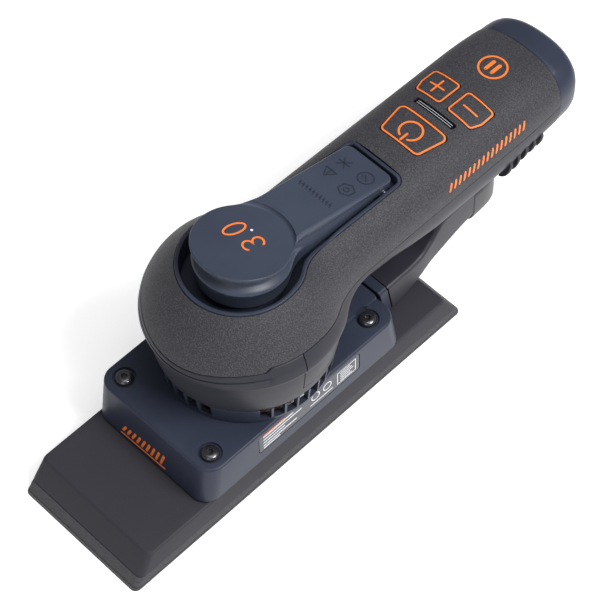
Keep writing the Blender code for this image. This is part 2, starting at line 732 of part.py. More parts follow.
def make_motor_housing():
    grey = finish_material("smooth_grey_plastic", GREY, 0.4)
    count = 48
    columns = []
    for index in range(count):
        angle = 2.0 * math.pi * index / count
        turn = abs(math.degrees(math.atan2(math.sin(angle), math.cos(angle))))
        top = seam_height(turn) - GAP
        outer = [(radius, height) for height, radius in BELT_PROFILE] + [(dome_radius(top), top)]
        slope = dome_radius(top + 0.5) - dome_radius(top - 0.5)
        depth = WALL / math.hypot(1.0, slope)
        inner = [(dome_radius(top) - depth, top + depth * slope - GAP), (DOME_RADIUS - WALL, DOME_MID),
                 (39.0, 71.0), (36.2, RING_TOP + GAP)]
        columns.append([(radius * math.cos(angle), radius * math.sin(angle), z)
                        for radius, z in outer + inner])
    rows = len(columns[0])
    points = [point for column in columns for point in column]
    faces = []
    for index in range(count):
        after = (index + 1) % count
        for row in range(rows):
            above = (row + 1) % rows
            faces.append((index * rows + row, after * rows + row, after * rows + above, index * rows + above))
    housing = add_object("motor_housing", points, faces, grey)
    edge = math.radians(97.6)
    sector = [(0.0, 0.0), (60.0 * math.cos(edge), -60.0 * math.sin(edge)), (60.0, -62.0), (60.0, 62.0),
              (60.0 * math.cos(edge), 60.0 * math.sin(edge))]
    combine(housing, prism("rear_sector_cutter", sector, HOUSING_REAR_TOP, 95.0))


# ---------------------------------------------------------------- shells

def trim_opening(offset):
    return keyhole_outline(TRIM_RADIUS + offset, TRIM_HALF_WIDTH + offset, TRIM_BLEND - offset,
                           TRIM_END + offset, TRIM_CORNER + offset)


def power_outline(grow=0.0):
    return [(90.9 - grow, 9.6), (90.9 - grow, -9.6), (92.6, -11.6 - grow), (106.2, -13.6 - grow),
            (108.0 + grow, -12.0), (108.0 + grow, 12.0), (106.2, 13.6 + grow), (92.6, 11.6 + grow)]


def step_outline(sign, grow=0.0):
    outline = [(118.3 - grow, 3.2), (119.6, 2.0 - grow), (130.9, 2.0 - grow), (132.5 + grow, 3.4),
               (132.5 + grow, 14.8), (130.6, 17.4 + grow), (124.0, 17.6 + grow), (118.9 - grow, 14.2)]
    return [(x, y * sign) for x, y in outline]


def led_outline(grow=0.0):
    return rounded_rectangle(112.2 - grow, 115.0 + grow, 11.2 + grow, 1.0, 2)


def make_upper_shell():
    charcoal = finish_material("textured_charcoal", CHARCOAL, 0.62)
    levels = 7
    columns = []
    for leg, share in stations(11, 5, 7):
        columns.append([upper_level(share, leg, level / (levels - 1)) for level in range(levels)])
    shell = clean_skin("upper_shell", columns, charcoal)
    add_wall(shell, WALL)
    combine(shell, prism("trim_opening_cutter", trim_opening(GAP), 80.0, 120.0))
    combine(shell, prism("power_hole_cutter", power_outline(GAP), 88.0, 110.0))
    combine(shell, prism("plus_hole_cutter", step_outline(1.0, GAP), 86.0, 110.0))
    combine(shell, prism("minus_hole_cutter", step_outline(-1.0, GAP), 86.0, 110.0))
    combine(shell, prism("led_hole_cutter", led_outline(GAP), 86.0, 110.0))


def rib_ring(x, grow):
    """Closed outline across the underside; its outer edge is squarer than the lower shell."""
    ring = []
    for index in range(10):
        turn = math.radians(12.0 + 156.0 * index / 9)
        side = math.cos(turn)
        y = math.copysign(math.sqrt(abs(side)), side) * (handle_half_width(x) + 0.2)
        z = HANDLE_MID - (HANDLE_MID - handle_bottom(x) + grow) * math.sqrt(math.sin(turn))
        ring.append((x, y, z))
    for index in range(10):
        turn = math.radians(168.0 - 156.0 * index / 9)
        side = math.cos(turn)
        share = abs(side) ** (2.0 / BELLY_POWER)
        y = math.copysign(share, side) * (handle_half_width(x) - 1.2)
        drop = math.sin(turn) ** (2.0 / BELLY_POWER)
        z = HANDLE_MID - (HANDLE_MID - handle_bottom(x) - 1.2) * drop
        ring.append((x, y, z))
    return ring


def make_lower_shell():
    grey = finish_material("smooth_grey_plastic", GREY, 0.4)
    levels = 11
    columns = []
    for leg, share in stations(5, 6, 8):
        columns.append([lower_level(share, leg, level, levels) for level in range(levels)])
    shell = clean_skin("lower_shell", columns, grey)
    add_wall(shell, WALL)
    for index, x in enumerate((135.2, 140.2, 145.2, 150.2, 155.2)):
        rings = [rib_ring(x - 0.9, 1.0), rib_ring(x + 0.9, 1.0)]
        combine(shell, add_loft("louvre_helper_%d" % (index + 1), rings), "UNION")
    for index, x in enumerate((142.7, 147.7, 152.7)):
        for sign in (-1.0, 1.0):
            low = min(sign * 7.0, sign * 19.0)
            high = max(sign * 7.0, sign * 19.0)
            name = "louvre_slot_cutter_%d_%s" % (index + 1, "left" if sign > 0.0 else "right")
            combine(shell, box(name, (x - 1.2, low, 40.0), (x + 1.2, high, 60.0)))
    for name, ends, half_width in (("duct", (93.0, 132.5), 21.8), ("outlet", (131.0, 138.4), 20.3)):
        channel = rounded_rectangle(-half_width, half_width, 14.0, 4.0, 3)
        rings = [[(x, y, 43.6 + z) for y, z in channel] for x in ends]
        combine(shell, add_loft(name + "_channel_cutter", rings))
    for place, x, y in case_screw_places():
        hole = [(0.0, 40.0), (1.8, 40.0), (1.8, 66.0), (0.0, 66.0)]
        combine(shell, lathe("case_screw_cutter_" + place, hole, None, 12, (x, y)))


def case_screw_places():
    return (("left", 162.6, 12.0), ("right", 162.6, -12.0))


def belly_height(x, y):
    share = min(abs(y) / handle_half_width(x), 1.0)
    drop = (1.0 - share ** BELLY_POWER) ** (1.0 / BELLY_POWER)
    return HANDLE_MID - SEAM_GAP - (HANDLE_MID - SEAM_GAP - handle_bottom(x)) * drop


def make_case_screws():
    black = finish_material("black_steel", BLACK_STEEL, 0.35, 0.9)
    for place, x, y in case_screw_places():
        seat = min(belly_height(x - 3.0, y), belly_height(x + 3.0, y), belly_height(x, y)) - 1.0
        screw = [(0.0, seat - 2.0), (2.2, seat - 2.0), (3.0, seat - 1.2), (3.0, seat), (1.5, seat),
                 (1.5, seat + 11.0), (0.0, seat + 12.0)]
        lathe("case_screw_" + place, screw, black, 14, (x, y))


def cap_ring(x, scale, count):
    """Cross-section of the handle's end shrunk about its middle, with left-right pairs of points."""
    width = handle_half_width(HANDLE_END) * scale
    top = (handle_top(HANDLE_END) - HANDLE_MID) * scale
    bottom = (HANDLE_MID - handle_bottom(HANDLE_END)) * scale
    upper = []
    lower = []
    for index in range(count + 1):
        turn = math.pi * index / count
        share = abs(math.cos(turn)) ** (2.0 / HANDLE_POWER)
        y = math.copysign(share, math.cos(turn)) * width
        bow = HANDLE_END_BOW * (y / handle_half_width(HANDLE_END)) ** 2
        upper.append((x - bow, y, HANDLE_MID + top * math.sin(turn) ** (2.0 / HANDLE_POWER)))
        drop = (1.0 - min(share, 1.0) ** BELLY_POWER) ** (1.0 / BELLY_POWER)
        lower.append((x - bow, y, HANDLE_MID - bottom * drop))
    return upper + lower[-2:0:-1]


def add_cap_loft(name, rings, finish=None):
    """Skin cap rings and close both ends with strips, so that the bowed ends stay true."""
    points, faces = loft(rings, False)
    count = len(rings[0])
    last = (len(rings) - 1) * count
    half = count // 2
    for index in range(half):
        strip = [index, index + 1, (count - index - 1) % count, (count - index) % count]
        strip = list(dict.fromkeys(strip))
        faces.append(tuple(strip))
        faces.append(tuple(last + corner for corner in reversed(strip)))
    return add_object(name, points, faces, finish)


def make_rear_cap():
    navy = finish_material("navy_plastic", NAVY, 0.42)
    start = HANDLE_END + GAP
    outer = ((start, 1.0), (start + 5.4, 0.995), (start + 9.6, 0.965), (start + 12.0, 0.90),
             (CAP_END, 0.80))
    cap = add_cap_loft("rear_cap", [cap_ring(x, scale, 14) for x, scale in outer], navy)
    inner = ((start - 2.0, 0.90), (start + 4.4, 0.89), (start + 7.6, 0.86), (start + 10.0, 0.70))
    combine(cap, add_cap_loft("cap_inside_cutter", [cap_ring(x, scale, 10) for x, scale in inner]))
    opening = [(y, z) for y, z in rounded_rectangle(-14.0, 14.0, 9.6, 3.0, 3)]
    rings = [[(x, y, 72.0 + z) for y, z in opening] for x in (174.0, 187.0)]
    combine(cap, add_loft("inlet_opening_cutter", rings))


def make_power_inlet():
    black = finish_material("black_plastic", (0.015, 0.015, 0.016, 1.0), 0.45)
    brass = finish_material("brass", (0.6, 0.45, 0.18, 1.0), 0.35, 0.9)
    body = [(y, z) for y, z in rounded_rectangle(-13.6, 13.6, 9.2, 2.7, 3)]
    rings = [[(x, y, 72.0 + z) for y, z in body] for x in (166.4, 182.4)]
    inlet = add_loft("power_inlet", rings, black)
    mouth = [(y, z) for y, z in rounded_rectangle(-11.2, 11.2, 6.8, 2.0, 3)]
    rings = [[(x, y, 72.0 + z) for y, z in mouth] for x in (169.0, 184.0)]
    combine(inlet, add_loft("inlet_mouth_cutter", rings))
    for index, y in enumerate((-4.0, 4.0)):
        cylinder_along("inlet_pin_%d" % (index + 1), (169.3, y, 72.0), (174.6, y, 72.0), 1.3, brass, 12)


# ---------------------------------------------------------------- lever, trim and well

def trim_rim_height(x, y):
    """Height of the body's outer surface along the trim's outline."""
    radius = math.hypot(x, y)
    dome_z = dome_height(radius)
    mix = smoothstep((x - 6.0) / 36.0)
    return dome_z + (handle_height(x, y) - dome_z) * mix


def make_trim():
    navy = finish_material("navy_plastic", NAVY, 0.42)
    outer = trim_opening(0.0)
    inner = trim_opening(-TRIM_WALL)
    floor_low = WELL_FLOOR - WELL_FLOOR_THICKNESS
    rings = [[(x, y, floor_low) for x, y in outer]]
    rings.append([(x, y, trim_rim_height(x, y) + TRIM_PROUD - 0.5) for x, y in outer])
    for rim, drop in ((trim_opening(-0.5), 0.0), (trim_opening(0.4 - TRIM_WALL), 0.0), (inner, 0.6)):
        heights = [trim_rim_height(*place) + TRIM_PROUD - drop for place in outer]
        rings.append([(x, y, height) for (x, y), height in zip(rim, heights)])
    rings.append([(x, y, WELL_FLOOR) for x, y in inner])
    trim = add_loft("bezel_trim", rings, navy)
    plunger = [(0.0, 85.0), (3.4, 85.0), (3.4, 95.0), (0.0, 95.0)]
    combine(trim, lathe("plunger_hole_cutter", plunger, None, 16, (PLUNGER_X, 0.0)))
    combine(trim, box("lug_slot_cutter", (65.6, -13.2, 85.0), (74.4, 13.2, 93.0)))
    combine(trim, cylinder_along("pin_hole_cutter", (PIVOT_X, -20.0, PIVOT_Z), (PIVOT_X, 20.0, PIVOT_Z),
                                 PIN_RADIUS + GAP, None, 16))


def dish_height(x):
    """Tilted floor of the round thumb dish."""
    return 115.5 - 0.2 * x


def lever_top(x):
    """Top of the lever before the dish is cut: a margin above the dish, then the sloping arm."""
    front = dish_height(x) + 1.0
    arm = 99.0 + 0.263 * (LEVER_END - x)
    return front + (arm - front) * smoothstep((x - 12.0) / 8.0)


def lever_bottom(x):
    return 97.5 - 0.035 * x


def lever_ring(radius, half_width, disc_share, tail_share, shrink=1.0):
    """One level of the lever, given as shares of its height on the disc and on the tail."""
    end_x = LEVER_END - 12.0 * (1.0 - shrink)
    outline = keyhole_outline(radius * shrink, half_width * shrink, LEVER_BLEND, end_x,
                              LEVER_CORNER * shrink, LEVER_X, (10, 5, 3))
    ring = []
    for x, y in outline:
        share = disc_share + (tail_share - disc_share) * smoothstep((x - 14.0) / 18.0)
        ring.append((x, y, lever_top(x) + (lever_bottom(x) - lever_top(x)) * share))
    return ring


def make_lever():
    navy = finish_material("navy_plastic", NAVY, 0.42)
    levels = ((19.7, 12.5, 0.0, 0.0), (20.1, 12.9, 0.045, 0.06),
              (LEVER_RADIUS, LEVER_HALF_WIDTH, 0.075, 0.14), (20.3, 13.1, 0.15, 0.26),
              (17.4, 12.9, 0.23, 0.36), (16.6, 12.8, 0.35, 0.48),
              (17.8, 12.8, 0.46, 0.60), (20.0, 12.8, 0.53, 0.68), (20.5, 12.8, 0.58, 0.76),
              (19.9, 12.7, 0.64, 0.84), (19.7, 12.6, 1.0, 1.0))
    rings = [lever_ring(*level) for level in reversed(levels)]
    rings += [lever_ring(19.7, 12.5, 0.0, 0.0, shrink) for shrink in (0.6, 0.2)]
    lever = add_loft("paddle_lever", rings, navy)
    dish = []
    for radius, rise in ((LEVER_RADIUS, 0.0), (LEVER_RADIUS + 0.7, 1.0), (LEVER_RADIUS + 3.4, 6.0)):
        dish.append([(x, y, dish_height(x) + rise) for x, y in circle(radius, 40, (LEVER_X, 0.0))])
    combine(lever, add_loft("thumb_dish_cutter", dish))
    lug = []
    for index in range(9):
        angle = math.radians(180.0 + 180.0 * index / 8)
        lug.append((PIVOT_X + 2.7 * math.cos(angle), PIVOT_Z + 2.7 * math.sin(angle)))
    lug += [(PIVOT_X + 2.7, 97.0), (PIVOT_X - 2.7, 97.0)]
    lug_rings = [[(x, y, z) for x, z in lug] for y in (-12.4, 12.4)]
    combine(lever, add_loft("hinge_lug_helper", lug_rings), "UNION")
    combine(lever, lathe("plunger_helper", [(0.0, 89.0), (2.6, 89.0), (2.8, 99.0), (0.0, 99.0)], None, 14,
                         (PLUNGER_X, 0.0)), "UNION")
    combine(lever, cylinder_along("lever_bore_cutter", (PIVOT_X, -20.0, PIVOT_Z), (PIVOT_X, 20.0, PIVOT_Z),
                                  PIN_RADIUS + GAP, None, 16))
    steel = finish_material("bright_steel", STEEL, 0.3, 1.0)
    cylinder_along("lever_pin", (PIVOT_X, -15.3, PIVOT_Z), (PIVOT_X, 15.3, PIVOT_Z), PIN_RADIUS, steel, 16)
    turns = 2.5
    steps = 8
    path = []
    low = WELL_FLOOR + 0.8
    high = lever_bottom(SPRING_X) - 0.9
    count = round(turns * steps)
    for index in range(count + 1):
        angle = 2.0 * math.pi * index / steps
        rise = index / count
        path.append((SPRING_X + 5.0 * math.cos(angle), 5.0 * math.sin(angle), low + (high - low) * rise))
    tube_path("lever_spring", path, 0.5, steel, 5)


# ---------------------------------------------------------------- buttons and electronics

def crowned_button(name, outline, bottom, finish):
    """Key whose top follows the handle's crown."""
    centre_x = sum(x for x, y in outline) / len(outline)
    centre_y = sum(y for x, y in outline) / len(outline)
    rings = [[(x, y, bottom) for x, y in outline]]
    for scale, drop in ((1.0, 0.35), (0.965, 0.0), (0.5, 0.0), (0.12, 0.0)):
        ring = []
        for x, y in outline:
            px = centre_x + (x - centre_x) * scale
            py = centre_y + (y - centre_y) * scale
            ring.append((px, py, handle_height(px, py) + 0.1 - drop))
        rings.append(ring)
    return add_loft(name, rings, finish)


def make_controls():
    charcoal = finish_material("textured_charcoal", CHARCOAL, 0.62)
    glass = finish_material("black_glass", (0.01, 0.01, 0.012, 1.0), 0.15)
    crowned_button("power_button", power_outline(), 92.2, charcoal)
    crowned_button("plus_button", step_outline(1.0)[::-1], 91.4, charcoal)
    crowned_button("minus_button", step_outline(-1.0), 91.4, charcoal)
    crowned_button("led_window", led_outline(), 92.6, glass)
    green = finish_material("circuit_board", BOARD_GREEN, 0.5)
    grey = finish_material("component", (0.1, 0.1, 0.11, 1.0), 0.5)
    box("button_board", (88.0, -15.5, 87.6), (135.0, 15.5, 89.2), green)
    for name, x, y, top in (("power_switch", 99.5, 0.0, 91.2), ("plus_switch", 125.5, 9.8, 90.4),
                            ("minus_switch", 125.5, -9.8, 90.4)):
        lathe(name, [(0.0, 89.5), (3.0, 89.5), (3.0, 90.0), (1.6, top), (0.0, top)], grey, 14, (x, y))
    box("lever_switch", (18.0, -5.0, 81.4), (26.0, 5.0, 85.8), grey)
    box("controller_board", (56.0, -19.0, 68.0), (150.0, 19.0, 69.6), green)
    aluminium = finish_material("cast_aluminium", (0.5, 0.5, 0.52, 1.0), 0.45, 0.9)
    comb = [(104.0, 69.9), (138.0, 69.9), (138.0, 80.0)]
    for index in range(6):
        right = 138.0 - 6.4 * index
        comb += [(right - 2.0, 80.0), (right - 2.0, 72.6)]
        if index < 5:
            comb += [(right - 6.4, 72.6), (right - 6.4, 80.0)]
    comb[-1] = (104.0, 72.6)
    rings = [[(x, y, z) for x, z in comb] for y in (-15.0, 15.0)]
    add_loft("heat_sink", rings, aluminium)
    cylinder_along("filter_capacitor", (72.0, 0.0, 77.2), (98.0, 0.0, 77.2), 7.0, grey, 20)
    cable = finish_material("cable", (0.25, 0.02, 0.02, 1.0), 0.5)
    path = [(31.2, 0.0, 73.0), (35.0, 0.0, 75.2), (40.0, 0.0, 76.4), (47.0, 0.0, 75.4), (53.0, 0.0, 73.2),
            (58.5, 0.0, 72.2)]
    tube_path("motor_cable", path, 2.2, cable, 10)


# ---------------------------------------------------------------- dust duct

def duct_ring(x, low, high, half_width, low_corner, high_corner, lean):
    """Rounded cross-section; lean shears it so that its front follows the shroud's rear wall."""
    ring = []
    corners = ((half_width, high, high_corner, 0.0), (-half_width, high, high_corner, 90.0),
               (-half_width, low, low_corner, 180.0), (half_width, low, low_corner, 270.0))
    for y_edge, z_edge, corner, start in corners:
        centre_y = y_edge - math.copysign(corner, y_edge)
        centre_z = z_edge - corner if start < 180.0 else z_edge + corner
        for index in range(4):
            angle = math.radians(start + 90.0 * index / 3)
            y = centre_y + corner * math.cos(angle)
            z = centre_z + corner * math.sin(angle)
            ring.append((x - lean * DUCT_BOTTOM_LEAN * (z - SHROUD_BOTTOM), y, z))
    return ring


def make_duct():
    grey = finish_material("smooth_grey_plastic", GREY, 0.4)
    navy = finish_material("navy_plastic", NAVY, 0.42)
    black = finish_material("black_plastic", (0.015, 0.015, 0.016, 1.0), 0.45)
    collar_outer = [duct_ring(x, 21.2, 41.4, DUCT_HALF_WIDTH, 4.0, 2.0, 1.0) for x in (61.6, 66.4)]
    collar = add_loft("duct_collar", collar_outer, navy)
    bore = [duct_ring(x, 24.0, 38.8, 19.6, 2.0, 2.0, 1.0) for x in (58.0, 70.0)]
    combine(collar, add_loft("collar_bore_cutter", bore))
    sections = ((66.8, 21.4, 41.2, 22.6, 4.0, 1.8, 1.0), (72.0, 22.6, 41.6, 22.7, 4.0, 1.8, 0.7),
                (78.0, 24.6, 41.8, 22.7, 4.0, 1.8, 0.3), (84.0, 27.0, 42.6, 22.4, 4.0, 1.9, 0.0),
                (89.0, 28.8, 45.0, 21.8, 4.0, 2.0, 0.0), (92.6, 29.8, 47.6, 21.4, 4.0, 2.2, 0.0),
                (98.0, 31.4, 54.4, 21.3, 4.2, 3.0, 0.0), (102.0, 32.6, 56.6, 21.3, 4.6, 3.6, 0.0),
                (110.0, 33.6, 57.0, 21.2, 6.5, 3.6, 0.0), (118.0, 33.0, 57.0, 21.0, 9.0, 3.6, 0.0))
    duct = add_loft("dust_duct", [duct_ring(*section) for section in sections], grey)
    inner = []
    for x, low, high, half_width, low_corner, high_corner, lean in sections:
        inner.append(duct_ring(x, low + 2.2, high - 2.2, half_width - 2.2, max(low_corner - 1.6, 1.4), 1.4,
                               lean))
    first = duct_ring(64.0, 23.6, 39.0, 20.4, 2.4, 1.4, 1.0)
    last = duct_ring(120.0, 35.2, 54.8, 18.8, 7.4, 1.4, 0.0)
    combine(duct, add_loft("duct_inside_cutter", [first] + inner + [last]))
    cuff_rings = [duct_ring(x, 28.6, 56.6, 21.0 - inset, 12.0 - inset, 6.0, 0.0)
                  for x, inset in ((OUTLET_START, 0.0), (127.0, 0.5), (132.0, 1.8), (OUTLET_END, 4.2))]
    cuff = add_loft("outlet_cuff", cuff_rings, black)
    combine(cuff, cylinder_along("cuff_bore_cutter", (110.0, 0.0, SPIGOT_Z), (140.0, 0.0, SPIGOT_Z),
                                 SPIGOT_RADIUS + GAP, None, 24))
    spigot = [(SPIGOT_BORE, 119.0), (SPIGOT_RADIUS, 119.0), (SPIGOT_RADIUS, SPIGOT_END - 1.0),
              (SPIGOT_RADIUS - 0.8, SPIGOT_END), (SPIGOT_BORE, SPIGOT_END)]
    lathe_along_x("hose_spigot", spigot, grey, 24, SPIGOT_Z)


# ---------------------------------------------------------------- joint origins

def move_origin(name, point):
    """Put a piece's origin at a point without moving its shape."""
    item = bpy.data.objects[name]
    shift = Vector(point) * MM
    item.data.transform(Matrix.Translation(-shift))
    item.location = shift


def place_joint_origins():
    """Put the moving pieces' origins on their joints; the rotor's axis is the world's own."""
    for name in ("hook_face", "pad_foam", "pad_plate", "pad_spindle", "pad_bolt"):
        move_origin(name, (PAD_X, 0.0, 0.0))
    move_origin("paddle_lever", (PIVOT_X, 0.0, PIVOT_Z))
    move_origin("power_button", (99.5, 0.0, 92.2))
    move_origin("plus_button", (125.5, 9.8, 91.4))
    move_origin("minus_button", (125.5, -9.8, 91.4))


def main():
    clear_scene()
    make_pad()
    make_pad_drive()
    make_rotor()
    make_motor()
    make_shroud()
    make_legs_and_screws()
    make_vent_ring()
    make_motor_housing()
    make_upper_shell()
    make_lower_shell()
    make_case_screws()
    make_rear_cap()
    make_power_inlet()
    make_trim()
    make_lever()
    make_controls()
    make_duct()
    place_joint_origins()


main()
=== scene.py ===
"""Looks of the orbital sander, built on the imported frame.

Lengths are in millimetres and scaled by MM. The frame is the CAD model's own: the motor axis
is x = y = 0, the sanding face is z = 0, the nose points along -X and the handle along +X.
"""
import json
import math

import bmesh
import bpy
from mathutils import Matrix, Vector


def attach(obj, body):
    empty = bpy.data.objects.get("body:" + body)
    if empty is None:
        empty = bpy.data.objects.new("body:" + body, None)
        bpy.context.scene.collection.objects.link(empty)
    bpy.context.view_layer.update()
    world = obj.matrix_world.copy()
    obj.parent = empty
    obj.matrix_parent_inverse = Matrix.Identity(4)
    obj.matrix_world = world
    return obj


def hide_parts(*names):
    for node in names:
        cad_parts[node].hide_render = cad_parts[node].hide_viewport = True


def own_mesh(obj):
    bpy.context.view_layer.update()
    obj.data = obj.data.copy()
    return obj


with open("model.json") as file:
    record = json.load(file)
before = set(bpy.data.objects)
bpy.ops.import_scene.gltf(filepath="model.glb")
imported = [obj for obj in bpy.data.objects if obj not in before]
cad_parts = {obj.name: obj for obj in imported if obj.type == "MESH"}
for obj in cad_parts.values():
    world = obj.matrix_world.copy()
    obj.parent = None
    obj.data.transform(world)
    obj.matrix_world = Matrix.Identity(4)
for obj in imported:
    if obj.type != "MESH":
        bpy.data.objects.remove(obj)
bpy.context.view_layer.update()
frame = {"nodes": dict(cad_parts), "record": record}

MM = 0.001

# Camera: azimuth, elevation and roll in degrees, distance and target in millimetres
CAMERA_AZIMUTH = -42.99
CAMERA_ELEVATION = 55.87
CAMERA_ROLL = -2.21
CAMERA_DISTANCE = 1055.34
CAMERA_TARGET = (51.2, 20.8, 0.0)
CAMERA_LENS = 141.03
SENSOR_WIDTH = 36.0

# Body of the tool, as in the CAD model
PAD_X = -1.5
PAD_HEIGHT = 16.9
SHROUD_BOTTOM = 17.9
SHROUD_TOP = 39.4
SHROUD_FRONT = -54.8
SHROUD_REAR = 56.9
SHROUD_FLARE = 3.6
SHROUD_HALF_WIDTH = 34.6
SCREW_X = 46.3
SCREW_Y = 26.2
RING_BOTTOM = 39.7
RING_TOP = 50.6
HOUSING_REAR_TOP = 57.3
DOME_RADIUS = 43.4
DOME_MID = 75.0
DOME_RISE = 44.0
DOME_POWER = 1.5
BELT_PROFILE = ((50.9, 38.7), (55.0, 39.6), (60.0, 40.4), (66.0, 41.2), (72.6, 41.8),
                (73.9, 43.2), (DOME_MID, DOME_RADIUS))
SEAM_RADIUS = 40.6
HANDLE_HALF_WIDTH = 26.8
HANDLE_MID = 76.0
HANDLE_POWER = 2.8
BELLY_POWER = 2.6
HANDLE_END = 169.5
HANDLE_END_BOW = 3.5
SEAM_GAP = 0.4
DIGIT_TURN = -13.0
TRIM_RADIUS = 26.6
TRIM_HALF_WIDTH = 15.8
TRIM_BLEND = 25.0
TRIM_END = 79.0
TRIM_CORNER = 4.0
WELL_FLOOR = 91.5
LEVER_X = 1.0
LEVER_END = 75.0
PIVOT_X = 70.0
PIVOT_Z = 93.4
SPRING_X = 44.0
SPRING_TURNS = 2.5
PLUNGER_X = 22.0
PIN_BORE = 1.8
SHELL_WALL = 2.4
HOLE_RADIUS = 4.5
PORT_HEIGHT = 30.0
LABEL_HEIGHT = 30.6
CHANNEL_HEIGHT = 43.6
INLET_HEIGHT = 72.0
OUTLET_HEIGHT = 37.7
PRINT_LIFT = 0.06
LABEL_LEFT = -24.0
STROKE_STEP = 0.8
FLOOR_REACH = 6000.0


# ---------------------------------------------------------------- node materials

def new_material(name):
    finish = bpy.data.materials.new(name)
    finish.use_nodes = True
    return finish, finish.node_tree, finish.node_tree.nodes["Principled BSDF"]


def noise(tree, coordinates, scale, detail=2.0, roughness=0.5):
    node = tree.nodes.new("ShaderNodeTexNoise")
    node.inputs["Scale"].default_value = scale
    node.inputs["Detail"].default_value = detail
    node.inputs["Roughness"].default_value = roughness
    tree.links.new(coordinates, node.inputs["Vector"])
    return node.outputs["Fac"]


def voronoi(tree, coordinates, scale, randomness=1.0):
    node = tree.nodes.new("ShaderNodeTexVoronoi")
    node.inputs["Scale"].default_value = scale
    node.inputs["Randomness"].default_value = randomness
    tree.links.new(coordinates, node.inputs["Vector"])
    return node.outputs["Distance"]


def object_coordinates(tree, stretch=None):
    node = tree.nodes.new("ShaderNodeTexCoord")
    if stretch is None:
        return node.outputs["Object"]
    mapping = tree.nodes.new("ShaderNodeMapping")
    mapping.inputs["Scale"].default_value = stretch
    tree.links.new(node.outputs["Object"], mapping.inputs["Vector"])
    return mapping.outputs["Vector"]


def ramp(tree, factor, stops):
    node = tree.nodes.new("ShaderNodeValToRGB")
    while len(node.color_ramp.elements) < len(stops):
        node.color_ramp.elements.new(0.5)
    for element, (position, colour) in zip(node.color_ramp.elements, stops):
        element.position = position
        element.color = (*colour, 1.0)
    tree.links.new(factor, node.inputs["Fac"])
    return node.outputs["Color"]


def map_range(tree, value, low, high, to_low, to_high):
    node = tree.nodes.new("ShaderNodeMapRange")
    node.inputs["From Min"].default_value = low
    node.inputs["From Max"].default_value = high
    node.inputs["To Min"].default_value = to_low
    node.inputs["To Max"].default_value = to_high
    tree.links.new(value, node.inputs["Value"])
    return node.outputs["Result"]


def bump(tree, shader, layers):
    """Chain of bumps; each layer is (height, strength, distance in millimetres)."""
    last = None
    for height, strength, distance in layers:
        node = tree.nodes.new("ShaderNodeBump")
        node.inputs["Strength"].default_value = strength
        node.inputs["Distance"].default_value = distance * MM
        tree.links.new(height, node.inputs["Height"])
        if last is not None:
            tree.links.new(last, node.inputs["Normal"])
        last = node.outputs["Normal"]
    tree.links.new(last, shader.inputs["Normal"])


def shade(colour, factor):
    return tuple(min(1.0, value * factor) for value in colour)


def tint(tree, shader, factor, colour, stops):
    """Base colour from (position, brightness) stops over one colour."""
    shades = [(position, shade(colour, level)) for position, level in stops]
    tree.links.new(ramp(tree, factor, shades), shader.inputs["Base Color"])


def moulded_plastic(name, colour, roughness, grain=0.5, strength=0.12, speckle=0.06, patch=0.10,
                    specular=0.35):
    """Moulded plastic: fine spark texture, faint flow patches and slightly uneven gloss."""
    finish, tree, shader = new_material(name)
    place = object_coordinates(tree)
    fine = noise(tree, place, 1000.0 / grain, 2.0, 0.6)
    flow = noise(tree, place, 22.0, 3.0, 0.5)
    mixed = tree.nodes.new("ShaderNodeMath")
    mixed.operation = "MULTIPLY_ADD"
    tree.links.new(fine, mixed.inputs[0])
    mixed.inputs[1].default_value = speckle
    tree.links.new(map_range(tree, flow, 0.3, 0.7, 0.0, patch), mixed.inputs[2])
    span = speckle + patch
    mottle = map_range(tree, mixed.outputs[0], 0.0, span, 0.0, 1.0)
    tint(tree, shader, mottle, colour, ((0.2, 0.86), (0.8, 1.14)))
    tree.links.new(map_range(tree, flow, 0.3, 0.7, roughness - 0.04, roughness + 0.05),
                   shader.inputs["Roughness"])
    shader.inputs["Specular IOR Level"].default_value = specular
    bump(tree, shader, ((fine, strength, 0.06), (flow, 0.05, 0.3)))
    return finish


def grained_overmould(name, colour):
    """Soft overmould with a leathery spark-eroded grain; the grain's tips are painted lighter, a painted
    highlight where they catch the light.
    """
    finish, tree, shader = new_material(name)
    place = object_coordinates(tree)
    cells = voronoi(tree, place, 2100.0)
    grain_and_glints = noise(tree, place, 2000.0, 3.0, 0.65)
    flow = noise(tree, place, 16.0, 2.0, 0.5)
    # Grain tone with painted highlight: the grain's tips are painted up to 2.2 times lighter to stand in for
    # the light they catch.
    tint(tree, shader, grain_and_glints, colour, ((0.36, 0.62), (0.50, 1.0), (0.66, 2.2)))
    tree.links.new(map_range(tree, flow, 0.3, 0.7, 0.56, 0.66), shader.inputs["Roughness"])
    shader.inputs["Specular IOR Level"].default_value = 0.3
    bump(tree, shader, ((grain_and_glints, 1.0, 0.17), (cells, 0.5, 0.12)))
    return finish


def printed_ink(name, colour):
    """Screen-printed ink: nearly even, with small pinholes and a satin face."""
    finish, tree, shader = new_material(name)
    place = object_coordinates(tree)
    fine = noise(tree, place, 1500.0, 2.0, 0.6)
    tint(tree, shader, fine, colour, ((0.30, 0.80), (0.50, 1.0), (0.75, 1.12)))
    shader.inputs["Roughness"].default_value = 0.5
    bump(tree, shader, ((fine, 0.15, 0.05),))
    return finish


def metal(name, colour, roughness, stretch=(1.0, 1.0, 12.0), strength=0.2, metallic=1.0):
    """Turned or cast metal: fine lines along one direction and small tone changes."""
    finish, tree, shader = new_material(name)
    place = object_coordinates(tree, stretch)
    lines = noise(tree, place, 900.0, 3.0, 0.6)
    blotch = noise(tree, object_coordinates(tree), 60.0, 3.0, 0.5)
    tint(tree, shader, blotch, colour, ((0.3, 0.82), (0.7, 1.12)))
    tree.links.new(map_range(tree, lines, 0.3, 0.7, roughness - 0.06, roughness + 0.10),
                   shader.inputs["Roughness"])
    shader.inputs["Metallic"].default_value = metallic
    bump(tree, shader, ((lines, strength, 0.04),))
    return finish


